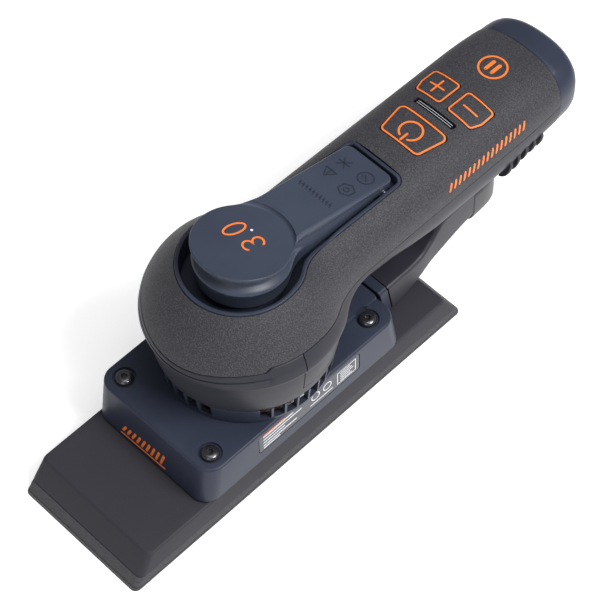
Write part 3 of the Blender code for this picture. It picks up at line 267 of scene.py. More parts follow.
def foam(name, colour):
    """Closed-cell foam edge: small pores of several sizes."""
    finish, tree, shader = new_material(name)
    place = object_coordinates(tree)
    cells = voronoi(tree, place, 900.0)
    fine = noise(tree, place, 600.0, 4.0, 0.7)
    tint(tree, shader, cells, colour, ((0.05, 0.55), (0.45, 1.25)))
    shader.inputs["Roughness"].default_value = 0.9
    bump(tree, shader, ((cells, 0.6, 0.15), (fine, 0.4, 0.15)))
    return finish


def hook_pile(name, colour):
    """Low hook pile: rows of tiny stalks across the sanding face."""
    finish, tree, shader = new_material(name)
    place = object_coordinates(tree)
    cells = voronoi(tree, place, 1100.0, 0.35)
    tint(tree, shader, cells, colour, ((0.1, 1.7), (0.5, 0.5)))
    shader.inputs["Roughness"].default_value = 0.85
    shader.inputs["Sheen Weight"].default_value = 0.3
    bump(tree, shader, ((cells, 0.8, 0.3),))
    return finish


NAVY = moulded_plastic("navy_satin", (0.026, 0.031, 0.050), 0.36, 0.55, 0.10, specular=0.16)
LEVER_NAVY = moulded_plastic("lever_satin", (0.033, 0.041, 0.063), 0.38, 0.6, 0.12, specular=0.28)
GRAIN = grained_overmould("charcoal_grain", (0.0285, 0.0280, 0.0335))
GREY = moulded_plastic("grey_satin", (0.026, 0.026, 0.034), 0.42, 0.5, 0.12, specular=0.12)
# Painted shade: the duct's grey is darker than the shell's grey to stand in for the shade under the handle.
DUCT_GREY_PAINTED_SHADE = moulded_plastic("duct_satin_painted_shade", (0.018, 0.017, 0.025), 0.46, 0.5, 0.14)
PAD_TOP = moulded_plastic("pad_matt", (0.022, 0.021, 0.028), 0.62, 0.7, 0.45, 0.22, 0.12, 0.3)
PAD_FOAM = foam("pad_foam_cells", (0.040, 0.039, 0.044))
PILE = hook_pile("hook_pile_face", (0.05, 0.05, 0.055))
ORANGE = printed_ink("orange_ink", (0.78, 0.17, 0.02))
LEVER_EMBOSS = moulded_plastic("lever_signs", (0.016, 0.021, 0.035), 0.42, 0.6, 0.12)
PALE_INK = printed_ink("pale_ink", (0.62, 0.63, 0.66))
LABEL = moulded_plastic("label_film", (0.060, 0.063, 0.075), 0.45, 0.4, 0.04)
BLACK = moulded_plastic("black_satin", (0.008, 0.008, 0.010), 0.38, 0.5, 0.10)
GLASS = moulded_plastic("smoked_window", (0.002, 0.002, 0.003), 0.22, 0.8, 0.02, 0.02, 0.02, 0.12)
LIGHT_GUIDE = moulded_plastic("light_guide", (0.45, 0.47, 0.50), 0.25, 0.6, 0.03)
RUBBER = moulded_plastic("leg_rubber", (0.014, 0.014, 0.014), 0.72, 0.6, 0.25)
STEEL = metal("ground_steel", (0.56, 0.57, 0.59), 0.26)
BLACK_STEEL = metal("black_oxide", (0.09, 0.09, 0.10), 0.24, (1.0, 1.0, 6.0), 0.2, 0.85)
ALUMINIUM = metal("cast_aluminium_face", (0.55, 0.55, 0.57), 0.42, (1.0, 1.0, 1.0), 0.35)
IRON = metal("cast_iron_face", (0.16, 0.16, 0.17), 0.60, (1.0, 1.0, 1.0), 0.6, 0.8)
COPPER = metal("enamelled_copper", (0.72, 0.30, 0.12), 0.30, (1.0, 1.0, 30.0), 0.6)
LAMINATION = metal("lamination_edges", (0.22, 0.22, 0.23), 0.45, (0.2, 0.2, 40.0), 0.6, 0.9)
MAGNET = metal("nickel_face", (0.42, 0.42, 0.44), 0.32)
BRASS = metal("brass_pins", (0.66, 0.50, 0.22), 0.3)
BOARD = moulded_plastic("solder_mask", (0.012, 0.085, 0.035), 0.35, 1.2, 0.10, 0.2, 0.2)
COMPONENT = moulded_plastic("component_case", (0.05, 0.05, 0.055), 0.5)
CABLE = moulded_plastic("cable_sleeve", (0.22, 0.02, 0.02), 0.5)

SLOT_MATERIALS = {
    "navy_plastic": NAVY, "textured_charcoal": GRAIN, "smooth_grey_plastic": GREY, "pad_plate": PAD_TOP,
    "pad_foam": PAD_FOAM, "hook_loops": PILE, "bright_steel": STEEL, "black_steel": BLACK_STEEL,
    "cast_aluminium": ALUMINIUM, "cast_iron": IRON, "fan_plastic": BLACK, "magnet": MAGNET,
    "lamination": LAMINATION, "copper": COPPER, "rubber": RUBBER, "label": LABEL, "black_plastic": BLACK,
    "black_glass": GLASS, "circuit_board": BOARD, "component": COMPONENT, "cable": CABLE, "brass": BRASS,
}
for subpart in frame["record"]["subparts"]:
    node = frame["nodes"][subpart["node"]]
    node.data.materials.clear()
    node.data.materials.append(SLOT_MATERIALS[subpart["material_slot"]])


# ---------------------------------------------------------------- mesh helpers, in millimetres

def smoothstep(value):
    value = min(1.0, max(0.0, value))
    return value * value * (3.0 - 2.0 * value)


def interpolate(x, stops):
    """Value at x along straight stretches between (x, value) stops."""
    if x <= stops[0][0]:
        return stops[0][1]
    for (x0, v0), (x1, v1) in zip(stops, stops[1:]):
        if x <= x1:
            share = (x - x0) / (x1 - x0)
            return v0 + (v1 - v0) * share
    return stops[-1][1]


def mesh_piece(name, points, faces, finish, body=None, nodes=(), slot=None, sharp=35.0, outward=True):
    """One piece from points in millimetres, placed on its body and standing for its CAD nodes."""
    shape = bmesh.new()
    corners = [shape.verts.new([value * MM for value in point]) for point in points]
    for face in faces:
        shape.faces.new([corners[index] for index in face])
    bmesh.ops.remove_doubles(shape, verts=shape.verts, dist=2e-7)
    bmesh.ops.dissolve_degenerate(shape, edges=shape.edges, dist=1e-7)
    if outward:
        bmesh.ops.recalc_face_normals(shape, faces=shape.faces)
    mesh = bpy.data.meshes.new(name)
    shape.to_mesh(mesh)
    shape.free()
    mesh.shade_smooth()
    mesh.set_sharp_from_angle(angle=math.radians(sharp))
    mesh.materials.append(finish)
    item = bpy.data.objects.new(name, mesh)
    bpy.context.scene.collection.objects.link(item)
    if body:
        settle(item, body, nodes)
    return item


def settle(item, body, nodes=()):
    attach(item, body)
    if nodes:
        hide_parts(*nodes)
    return item


def cut(item, cutters, operation="DIFFERENCE", sharp=35.0):
    """Apply Booleans at once, then drop the helpers."""
    for cutter in cutters:
        step = item.modifiers.new("cut", "BOOLEAN")
        step.operation = operation
        step.solver = "EXACT"
        step.object = cutter
    bake(item, sharp)
    for cutter in cutters:
        bpy.data.objects.remove(cutter, do_unlink=True)
    return item


def bake(item, sharp=35.0):
    """Replace an item's mesh with what its modifiers make of it."""
    bpy.context.view_layer.update()
    graph = bpy.context.evaluated_depsgraph_get()
    made = bpy.data.meshes.new_from_object(item.evaluated_get(graph), depsgraph=graph)
    item.modifiers.clear()
    item.data = made
    made.shade_smooth()
    made.set_sharp_from_angle(angle=math.radians(sharp))


def soften(item, width, segments=2, angle=40.0):
    """Round the item's sharp edges."""
    step = item.modifiers.new("edges", "BEVEL")
    step.width = width * MM
    step.segments = segments
    step.limit_method = "ANGLE"
    step.angle_limit = math.radians(angle)
    step.harden_normals = True
    return item


def loft(rings, closed=True):
    """Points and faces of a skin through rings of equal count, with flat ends where closed."""
    count = len(rings[0])
    points = [point for ring in rings for point in ring]
    faces = []
    for level in range(len(rings) - 1):
        base = level * count
        for step in range(count):
            after = (step + 1) % count
            faces.append((base + step, base + after, base + count + after, base + count + step))
    if closed:
        faces.append(tuple(range(count)))
        last = (len(rings) - 1) * count
        faces.append(tuple(last + step for step in reversed(range(count))))
    return points, faces


def loft_piece(name, rings, finish, body=None, nodes=(), slot=None, sharp=35.0):
    return mesh_piece(name, *loft(rings), finish, body, nodes, slot, sharp)


def helper(name, rings):
    return loft_piece(name, rings, BLACK)


def plug(name, radius, low, high, count, centre=(0.0, 0.0)):
    """Upright helper cylinder."""
    return lathe(name, [(0.0, low), (radius, low), (radius, high), (0.0, high)], BLACK, count, centre)


def prism(name, outline, low, high):
    return helper(name, [[(x, y, level) for x, y in outline] for level in (low, high)])


def block_along_x(name, outline, height, ends):
    """Helper block from a (y, z) outline about a height, between two values of x."""
    return helper(name, [[(x, y, height + z) for y, z in outline] for x in ends])


def block_along_y(name, outline, ends, centre=(0.0, 0.0)):
    """Helper block from an (x, z) outline about a centre, between two values of y."""
    return helper(name, [[(centre[0] + x, y, centre[1] + z) for x, z in outline] for y in ends])


def rolled_edge(outline, top, radius, steps):
    """Rings that turn from a wall into the top with a quarter round."""
    rings = []
    for index in range(1, steps + 1):
        turn = math.radians(90.0 * index / steps)
        rings.append(outline(top - radius + radius * math.sin(turn), radius * (1.0 - math.cos(turn))))
    return rings


def join_shapes(name, parts):
    """One helper made of several closed lofts that don't touch."""
    points = []
    faces = []
    for rings in parts:
        more, sides = loft(rings)
        faces.extend(tuple(index + len(points) for index in side) for side in sides)
        points.extend(more)
    return mesh_piece(name, points, faces, BLACK)


def turn_about(centre, radius, angle):
    """Point at an angle in radians on a circle in the plane."""
    return centre[0] + radius * math.cos(angle), centre[1] + radius * math.sin(angle)


def circle(radius, count, centre=(0.0, 0.0), start=0.0):
    step = 2.0 * math.pi / count
    return [turn_about(centre, radius, start + step * index) for index in range(count)]


def rounded_rectangle(left, right, half_width, corner, steps=8):
    outline = []
    centres = ((right - corner, half_width - corner, 0.0), (left + corner, half_width - corner, 90.0),
               (left + corner, corner - half_width, 180.0), (right - corner, corner - half_width, 270.0))
    for centre_x, centre_y, start in centres:
        for index in range(steps + 1):
            angle = math.radians(start + 90.0 * index / steps)
            outline.append(turn_about((centre_x, centre_y), corner, angle))
    return outline


def round_corners(corners, radius, steps=6):
    """Polygon with arcs of one radius at its corners."""
    outline = []
    count = len(corners)
    for index in range(count):
        here = Vector(corners[index])
        back = (Vector(corners[index - 1]) - here).normalized()
        ahead = (Vector(corners[(index + 1) % count]) - here).normalized()
        half = math.acos(max(-1.0, min(1.0, back.dot(ahead)))) / 2.0
        reach = radius / math.tan(half)
        middle = here + (back + ahead).normalized() * (radius / math.sin(half))
        first = here + back * reach - middle
        last = here + ahead * reach - middle
        turn = first.angle_signed(last) if first.length > 0 and last.length > 0 else 0.0
        for step in range(steps + 1):
            angle = -turn * step / steps
            spun = Vector((first.x * math.cos(angle) - first.y * math.sin(angle),
                           first.x * math.sin(angle) + first.y * math.cos(angle)))
            outline.append(tuple(middle + spun))
    return outline


def lathe(name, profile, finish, count=96, centre=(0.0, 0.0), body=None, nodes=(), slot=None, sharp=35.0):
    """Turn (radius, height) points about a vertical line; ends at radius 0 make it solid."""
    solid = profile[0][0] == 0.0 and profile[-1][0] == 0.0
    points = []
    rows = []
    for radius, height in profile:
        if radius == 0.0:
            rows.append([len(points)] * count)
            points.append((centre[0], centre[1], height))
        else:
            rows.append(list(range(len(points), len(points) + count)))
            points.extend((x, y, height) for x, y in circle(radius, count, centre))
    pairs = list(zip(rows, rows[1:]))
    if not solid:
        pairs.append((rows[-1], rows[0]))
    faces = []
    for lower, upper in pairs:
        for step in range(count):
            after = (step + 1) % count
            face = list(dict.fromkeys([lower[step], lower[after], upper[after], upper[step]]))
            if len(face) > 2:
                faces.append(tuple(face))
    return mesh_piece(name, points, faces, finish, body, nodes, slot, sharp)


def lathe_along_x(name, profile, finish, height, count=72, body=None, nodes=(), slot=None):
    rings = [[(x, y, height + z) for y, z in circle(radius, count)] for radius, x in profile]
    points, faces = loft(rings, False)
    last = (len(rings) - 1) * count
    for step in range(count):
        after = (step + 1) % count
        faces.append((last + step, last + after, after, step))
    return mesh_piece(name, points, faces, finish, body, nodes, slot)


def round_bar(path, radius, count=10):
    """Rings of a round bar that follows a path."""
    rings = []
    line = [Vector(point) for point in path]
    for index, middle in enumerate(line):
        axis = (line[min(index + 1, len(line) - 1)] - line[max(index - 1, 0)]).normalized()
        side = axis.cross(Vector((0.0, 0.0, 1.0)))
        if side.length < 0.1:
            side = axis.cross(Vector((0.0, 1.0, 0.0)))
        side.normalize()
        other = axis.cross(side)
        rings.append([tuple(middle + side * x + other * y) for x, y in circle(radius, count)])
    return rings


# ---------------------------------------------------------------- body surface

def keyhole_point(leg, share, radius, half_width, blend, end_x, start_angle=math.pi):
    """Left half of a keyhole: leg 0 round front, 1 hollow blend, 2 straight side."""
    blend_x = math.sqrt((radius + blend) ** 2 - (half_width + blend) ** 2)
    tangent = math.atan2(half_width + blend, blend_x)
    if leg == 0:
        angle = start_angle + share * (tangent - start_angle)
        return radius * math.cos(angle), radius * math.sin(angle)
    if leg == 1:
        first = tangent + math.pi
        angle = first + share * (1.5 * math.pi - first)
        return turn_about((blend_x, half_width + blend), blend, angle)
    return blend_x + share * (end_x - blend_x), half_width


def stations(front, hollow, straight):
    path = [(0, index / front) for index in range(front)]
    path += [(1, index / hollow) for index in range(hollow)]
    path += [(2, index / straight) for index in range(straight + 1)]
    return path


def keyhole_outline(radius, half_width, blend, end_x, corner, shift_x=0.0):
    left = []
    for leg, share in stations(44, 18, 16):
        x, y = keyhole_point(leg, share, radius, half_width, blend, end_x - shift_x - corner)
        left.append((x + shift_x, y))
    for index in range(1, 9):
        angle = math.radians(90.0 - 90.0 * index / 8)
        left.append(turn_about((end_x - corner, half_width - corner), corner, angle))
    return left[::-1] + [(x, -y) for x, y in left[1:]]


def superellipse(share, power):
    """Height of a unit superellipse at a share of its half width."""
    return (1.0 - share ** power) ** (1.0 / power)


def dome_radius(height):
    if height <= DOME_MID:
        return interpolate(height, BELT_PROFILE)
    rise = min((height - DOME_MID) / DOME_RISE, 1.0)
    return DOME_RADIUS * superellipse(rise, DOME_POWER)


def dome_height(radius):
    share = min(radius / DOME_RADIUS, 1.0)
    return DOME_MID + DOME_RISE * superellipse(share, DOME_POWER)


def handle_top(x):
    droop = max(0.0, x - 150.0) / 20.0
    return 101.2 - 0.0413 * x - 2.0 * droop * droop


def handle_bottom(x):
    stops = ((40.0, 62.0), (60.0, 60.0), (75.0, 53.5), (90.0, 49.5), (139.0, 49.5), (146.0, 53.0),
             (165.0, 53.0))
    return interpolate(x, stops)


def handle_half_width(x):
    return HANDLE_HALF_WIDTH * (1.0 - 0.045 * max(0.0, (x - 140.0) / 30.0) ** 2)


def handle_height(x, y):
    share = min(abs(y) / handle_half_width(x), 1.0)
    return HANDLE_MID + (handle_top(x) - HANDLE_MID) * superellipse(share, HANDLE_POWER)


def handle_share(leg, share, start_angle):
    x, y = keyhole_point(leg, share, SEAM_RADIUS, HANDLE_HALF_WIDTH, 45.0, HANDLE_END, start_angle)
    return smoothstep((x + 2.0) / 46.0)


def seam_height(angle):
    front = 79.0 + 3.6 * smoothstep((180.0 - angle) / 55.0)
    return front + 1.8 * smoothstep((121.5 - angle) / 5.0)


def upper_point(leg, share, level):
    seam_angle = 180.0 - share * 125.0 if leg == 0 else 60.0
    seam = seam_height(seam_angle)
    start = math.asin(((seam - DOME_MID) / DOME_RISE) ** (DOME_POWER / 2.0))
    turn = start + level * (math.radians(60.0) - start)
    radius = DOME_RADIUS * math.cos(turn) ** (2.0 / DOME_POWER)
    dome_z = DOME_MID + DOME_RISE * math.sin(turn) ** (2.0 / DOME_POWER)
    lift = level * math.pi / 2.0
    side = max(math.cos(lift), 0.0) ** (2.0 / HANDLE_POWER) if level < 0.999 else 0.0
    end_x = HANDLE_END - HANDLE_END_BOW * side * side
    x, y = keyhole_point(leg, share, radius, HANDLE_HALF_WIDTH * side, 45.0 - 25.0 * level, end_x)
    rise = math.sin(lift) ** (2.0 / HANDLE_POWER)
    handle_z = HANDLE_MID + (handle_top(x) - HANDLE_MID) * rise
    mix = handle_share(leg, share, math.pi)
    return x, y * handle_half_width(x) / HANDLE_HALF_WIDTH, dome_z + (handle_z - dome_z) * mix


WALL_STOPS = ((0.0, 84.4 - SEAM_GAP), (0.1, 79.5), (0.2, DOME_MID), (0.3, 73.9), (0.4, 72.6), (0.5, 66.0),
              (0.6, HOUSING_REAR_TOP + 0.3))


def lower_point(leg, share, level):
    dome_z = interpolate(level, WALL_STOPS)
    radius = dome_radius(dome_z) - 2.6 * max(0.0, (level - 0.6) / 0.4)
    turn = (math.pi / 2.0) * level
    side = max(math.cos(turn), 0.0) ** (2.0 / BELLY_POWER) if level < 0.999 else 0.0
    end_x = HANDLE_END - HANDLE_END_BOW * side * side
    start = math.radians(97.0)
    x, y = keyhole_point(leg, share, radius, HANDLE_HALF_WIDTH * side, 45.0 - 40.0 * level, end_x, start)
    drop = math.sin(turn) ** (2.0 / BELLY_POWER)
    middle = HANDLE_MID - SEAM_GAP
    handle_z = middle - (middle - handle_bottom(x)) * drop
    high_mix = handle_share(leg, share, start)
    low_mix = smoothstep((x - 37.0) / 20.0)
    mix = high_mix + (low_mix - high_mix) * smoothstep(level / 0.6)
    return x, y * handle_half_width(x) / HANDLE_HALF_WIDTH, dome_z + (handle_z - dome_z) * mix


def shell_piece(name, columns, finish, wall, nodes, slot):
    """Left half-skin mirrored, pointed outwards and thickened inwards."""
    rows = len(columns[0])
    points = []
    faces = []
    for sign in (1.0, -1.0):
        offset = len(points)
        for column in columns:
            points.extend((x, y * sign, z) for x, y, z in column)
        for index in range(len(columns) - 1):
            for row in range(rows - 1):
                first = offset + index * rows + row
                faces.append((first, first + rows, first + rows + 1, first + 1))
    item = mesh_piece(name, points, faces, finish, "housing", nodes, slot)
    shape = bmesh.new()
    shape.from_mesh(item.data)
    middle = Vector((0.06, 0.0, HANDLE_MID * MM))
    votes = sum(1 if face.normal.dot(face.calc_center_median() - middle) > 0.0 else -1
                for face in shape.faces)
    if votes < 0:
        bmesh.ops.reverse_faces(shape, faces=shape.faces)
        shape.to_mesh(item.data)
    shape.free()
    step = item.modifiers.new("wall", "SOLIDIFY")
    step.thickness = wall * MM
    step.offset = -1.0
    step.use_even_offset = True
    bake(item)
    return item


# ---------------------------------------------------------------- printed marks

def crown_surface(lift=0.0):
    """Handle's top as a function of (x, y)."""
    return lambda x, y: Vector((x, y, handle_height(x, y) + lift))


def flank_surface(sign):
    """Handle's side as a function of (x, height)."""
    def place(x, z):
        rise = (z - HANDLE_MID) / (handle_top(x) - HANDLE_MID)
        return Vector((x, sign * handle_half_width(x) * superellipse(rise, HANDLE_POWER), z))
    return place


def outward_normal(surface, u, v, sense):
    here = surface(u, v)
    along = surface(u + 0.05, v) - here
    across = surface(u, v + 0.05) - here
    return along.cross(across).normalized() * sense


def ribbon(path, width, closed=False):
    """Outline points (left, right) of a stroke along a path in the plane."""
    line = [Vector(point) for point in path]
    count = len(line)
    pairs = []
    for index, here in enumerate(line):
        if closed:
            back, ahead = line[index - 1], line[(index + 1) % count]
        else:
            back, ahead = line[max(index - 1, 0)], line[min(index + 1, count - 1)]
        into = (here - back).normalized() if (here - back).length > 1e-9 else (ahead - here).normalized()
        out = (ahead - here).normalized() if (ahead - here).length > 1e-9 else into
        tangent = (into + out).normalized()
        side = Vector((-tangent.y, tangent.x))
        stretch = 1.0 / max(0.5, side.dot(Vector((-into.y, into.x))))
        pairs.append((here + side * width * 0.5 * stretch, here - side * width * 0.5 * stretch))
    if closed:
        pairs.append(pairs[0])
    else:
        for end, near in ((0, 1), (-1, -2)):
            tangent = (line[end] - line[near]).normalized()
            side = Vector((-tangent.y, tangent.x))
            extra = []
            for index in range(1, 5):
                angle = math.radians(90.0 * index / 4.5)
                half = side * width * 0.5 * math.cos(angle)
                reach = line[end] + tangent * width * 0.5 * math.sin(angle)
                extra.append((reach + half, reach - half))
            pairs = extra[::-1] + pairs if end == 0 else pairs + extra
    return pairs


def print_marks(name, strokes, surface, finish, body, sense=1.0, height=0.10, slot=None, sink=0.12):
    """Raised ink: each stroke is (path, width, closed), laid on the surface."""
    points = []
    faces = []
    for path, width, closed in strokes:
        pairs = ribbon(path, width, closed)
        offset = len(points)
        for left, right in pairs:
            for place, lift in ((left, -sink), (left, height), (right, height), (right, -sink)):
                normal = outward_normal(surface, place[0], place[1], sense)
                points.append(tuple(surface(place[0], place[1]) + normal * lift))
        for index in range(len(pairs) - 1):
            base = offset + index * 4
            for edge in range(4):
                after = (edge + 1) % 4
                faces.append((base + edge, base + after, base + 4 + after, base + 4 + edge))
        if not closed:
            last = offset + (len(pairs) - 1) * 4
            faces.append(tuple(offset + edge for edge in range(4)))
            faces.append(tuple(last + edge for edge in (3, 2, 1, 0)))
    return mesh_piece(name, points, faces, finish, body, (), slot, 50.0)


def dense(path, step=1.0, closed=False):
    """The same path with points at most a step apart."""
    line = [Vector(point) for point in path]
    if closed:
        line.append(line[0])
    made = []
    for here, after in zip(line, line[1:]):
        count = max(1, math.ceil((after - here).length / step))
        made.extend(tuple(here.lerp(after, index / count)) for index in range(count))
    if not closed:
        made.append(tuple(line[-1]))
    return made


def arc(centre, radius, start, end, steps=24):
    angles = [math.radians(start + (end - start) * index / steps) for index in range(steps + 1)]
    return [turn_about(centre, radius, angle) for angle in angles]


def bar(start, end, width, step=STROKE_STEP):
    """Straight open stroke with points close enough to follow a curved face."""
    return dense((start, end), step), width, False


# ---------------------------------------------------------------- pad

def pad_outline(height, inset=0.0):
    share = height / PAD_HEIGHT
    outline = rounded_rectangle(PAD_X - 99.0 + 11.0 * share + inset, PAD_X + 99.0 - 9.7 * share - inset,
                                35.0 - 1.4 * share - inset, 3.0, 10)
    return [(x, y, height) for x, y in outline]


def dust_holes(low, high):
    parts = []
    for hole_x in (-32.0, 0.0, 32.0):
        for hole_y in (-23.0, 23.0):
            hole = circle(HOLE_RADIUS, 32, (hole_x, hole_y))
            parts.append([[(x, y, level) for x, y in hole] for level in (low, high)])
    return join_shapes("hole_helper", parts)


hook_rings = [pad_outline(0.0, 0.25), pad_outline(0.3), pad_outline(1.1), pad_outline(1.3, 0.2)]
hook = loft_piece("sanding_face", hook_rings, PILE, "pad", ("hook_face",), "hook_loops")
cut(hook, [dust_holes(-1.0, 3.0)])

foam_rings = []
for index in range(9):
    share = index / 8
    foam_rings.append(pad_outline(1.6 + 4.4 * share, 0.22 * (2.0 * share - 1.0) ** 2))
cushion = loft_piece("foam_layer", foam_rings, PAD_FOAM, "pad", ("pad_foam",), "pad_foam")
cut(cushion, [dust_holes(1.0, 7.0)])

plate_rings = [pad_outline(6.3, 0.3), pad_outline(6.6), pad_outline(PAD_HEIGHT - 1.0)]
plate_rings += rolled_edge(pad_outline, PAD_HEIGHT, 1.0, 5)
plate = loft_piece("pad_casting", plate_rings, PAD_TOP, "pad", ("pad_plate",), "pad_plate")
pocket = [(0.0, 5.0), (6.6, 5.0), (6.6, 12.2), (3.4, 12.2), (3.4, 18.0), (0.0, 18.0)]
cut(plate, [dust_holes(5.0, 18.0), lathe("pocket_helper", pocket, BLACK, 48, (PAD_X, 0.0))])


# ---------------------------------------------------------------- shroud

def shroud_outline(height, inset=0.0):
    lean = SHROUD_FLARE * (SHROUD_TOP - height) / (SHROUD_TOP - SHROUD_BOTTOM)
    outline = rounded_rectangle(SHROUD_FRONT - lean + inset, SHROUD_REAR + lean - inset,
                                SHROUD_HALF_WIDTH - inset, 8.0 - min(inset, 3.0), 14)
    return [(x, y, height) for x, y in outline]


def make_shroud():
    top = SHROUD_TOP
    rings = [shroud_outline(SHROUD_BOTTOM, 0.35), shroud_outline(SHROUD_BOTTOM + 0.35),
             shroud_outline(top - 1.1)]
    rings += rolled_edge(shroud_outline, top, 1.1, 7)
    shroud = loft_piece("shroud_shell", rings, NAVY)
    hump = rounded_rectangle(26.0, 56.4, 22.4, 1.5, 6)
    levels = [(38.0, 1.0), (40.7, 1.0), (41.1, 0.995), (41.4, 0.985), (41.5, 0.965)]
    hump_rings = [[(x, y * scale, z) for x, y in hump] for z, scale in levels]
    cut(shroud, [helper("hump_helper", hump_rings)], "UNION")
    cut(shroud, [plug("seat_helper", 37.9, top, 43.0, 144)])
    inside = [shroud_outline(height, 2.6) for height in (SHROUD_BOTTOM - 1.0, top - 2.8)]
    port = rounded_rectangle(-19.0, 19.0, 6.0, 3.0)
    label = rounded_rectangle(-27.0, 33.0, 6.2, 1.6)
    side = SHROUD_HALF_WIDTH
    cut(shroud, [helper("inside_helper", inside), plug("carrier_helper", 34.3, 30.0, 42.0, 96)])
    cut(shroud, [block_along_x("port_helper", port, PORT_HEIGHT, (50.0, 62.0)),
                 block_along_y("label_helper", label, (-side - 1.0, 0.6 - side), (0.0, LABEL_HEIGHT))])
    recess = [(0.0, 26.0), (2.4, 26.0), (2.4, top - 1.2), (5.0, top - 1.2), (5.15, top - 0.2),
              (5.5, top + 3.0), (0.0, top + 3.0)]
    cut(shroud, [lathe("recess_helper", recess, BLACK, 40, place) for place in screw_places()])
    settle(shroud, "housing", ("pad_shroud",))


def screw_places():
    return [(x, y) for x in (-SCREW_X, SCREW_X) for y in (SCREW_Y, -SCREW_Y)]


def make_shroud_screws():
    low = SHROUD_TOP - 0.9
    names = {(-1, 1): "front_left", (-1, -1): "front_right", (1, 1): "rear_left", (1, -1): "rear_right"}
    for x, y in screw_places():
        place = names[(1 if x > 0 else -1, 1 if y > 0 else -1)]
        profile = [(0.0, 26.0), (2.0, 26.0), (2.0, low), (3.9, low), (4.0, low + 0.15),
                   (4.0, low + 0.55)]
        for index in range(1, 8):
            turn = math.radians(90.0 * index / 7)
            profile.append((1.9 + 2.1 * math.cos(turn), low + 0.55 + 1.75 * math.sin(turn)))
        profile.append((0.0, low + 2.32))
        screw = lathe("button_head_" + place, profile, BLACK_STEEL, 48, (x, y))
        cut(screw, [prism("socket_helper", circle(1.45, 6, (x, y), 0.3), low + 0.8, low + 4.0)])
        soften(screw, 0.12, 2)
        settle(screw, "housing", ("shroud_screw_" + place,))


def label_face(x, z):
    return Vector((x, 0.1 - SHROUD_HALF_WIDTH, z))


def make_rating_label():
    side = -SHROUD_HALF_WIDTH
    outline = rounded_rectangle(-26.6, 32.6, 5.8, 1.3)
    rings = [[(x, y, LABEL_HEIGHT + z) for x, z in outline] for y in (side + 0.45, side + 0.1)]
    film = loft_piece("label_film_piece", rings, LABEL, "housing", ("rating_label",), "label")
    film.data.shade_flat()
    lines = ((34.6, 17.0), (32.4, 22.0), (30.2, 12.0), (28.0, 19.0), (26.2, 9.0))
    strokes = [(((LABEL_LEFT, height), (LABEL_LEFT + length, height)), 0.7, False)
               for height, length in lines]
    for middle in (6.5, 13.5):
        strokes.append((arc((middle, 32.2), 2.3, 0.0, 345.0), 0.5, True))
    strokes.append(bar((3.4, 27.6), (16.4, 27.6), 0.6, 1.0))
    strokes.append((((19.6, 26.6), (19.6, 34.6), (30.4, 34.6), (30.4, 26.6)), 0.4, True))
    for index in range(5):
        height = 33.2 - 1.4 * index
        strokes.append((((21.4, height), (27.0 + (index % 3), height)), 0.5, False))
    accent = [(((LABEL_LEFT, 35.6), (-12.0, 35.6)), 0.6, False)]
    for name, marks, ink in (("label_marks", strokes, PALE_INK), ("label_accent", accent, ORANGE)):
        print_marks(name, marks, label_face, ink, "housing", 1.0, 0.03, "label", 0.05)


make_shroud()
make_shroud_screws()
make_rating_label()


# ---------------------------------------------------------------- drum

def make_vent_ring():
    profile = [(37.05, 39.7), (37.37, 40.0), (37.7, 43.0), (38.2, 47.0), (38.62, 50.3),
               (38.3, RING_TOP), (35.6, RING_TOP), (34.8, RING_BOTTOM)]
    ring = lathe("vent_ring_shell", profile, NAVY, 180)
    angles = [180.0 + 10.0 * (index - 2.0) for index in range(5)]
    for index in range(7):
        angles += [121.8 - 8.9 * index, 8.9 * index - 121.8]
    parts = []
    for angle in angles:
        out = Vector((math.cos(math.radians(angle)), math.sin(math.radians(angle))))
        side = Vector((-out.y, out.x))
        outline = []
        for height, half in ((41.6, 2.05), (42.0, 2.45), (RING_TOP + 2.0, 2.45)):
            corners = (out * 33.0 - side * half, out * 41.0 - side * half,
                       out * 41.0 + side * half, out * 33.0 + side * half)
            outline.append([(corner.x, corner.y, height) for corner in corners])
        parts.append(outline)
    cut(ring, [join_shapes("vent_helper", parts)])
    settle(ring, "housing", ("vent_ring",))


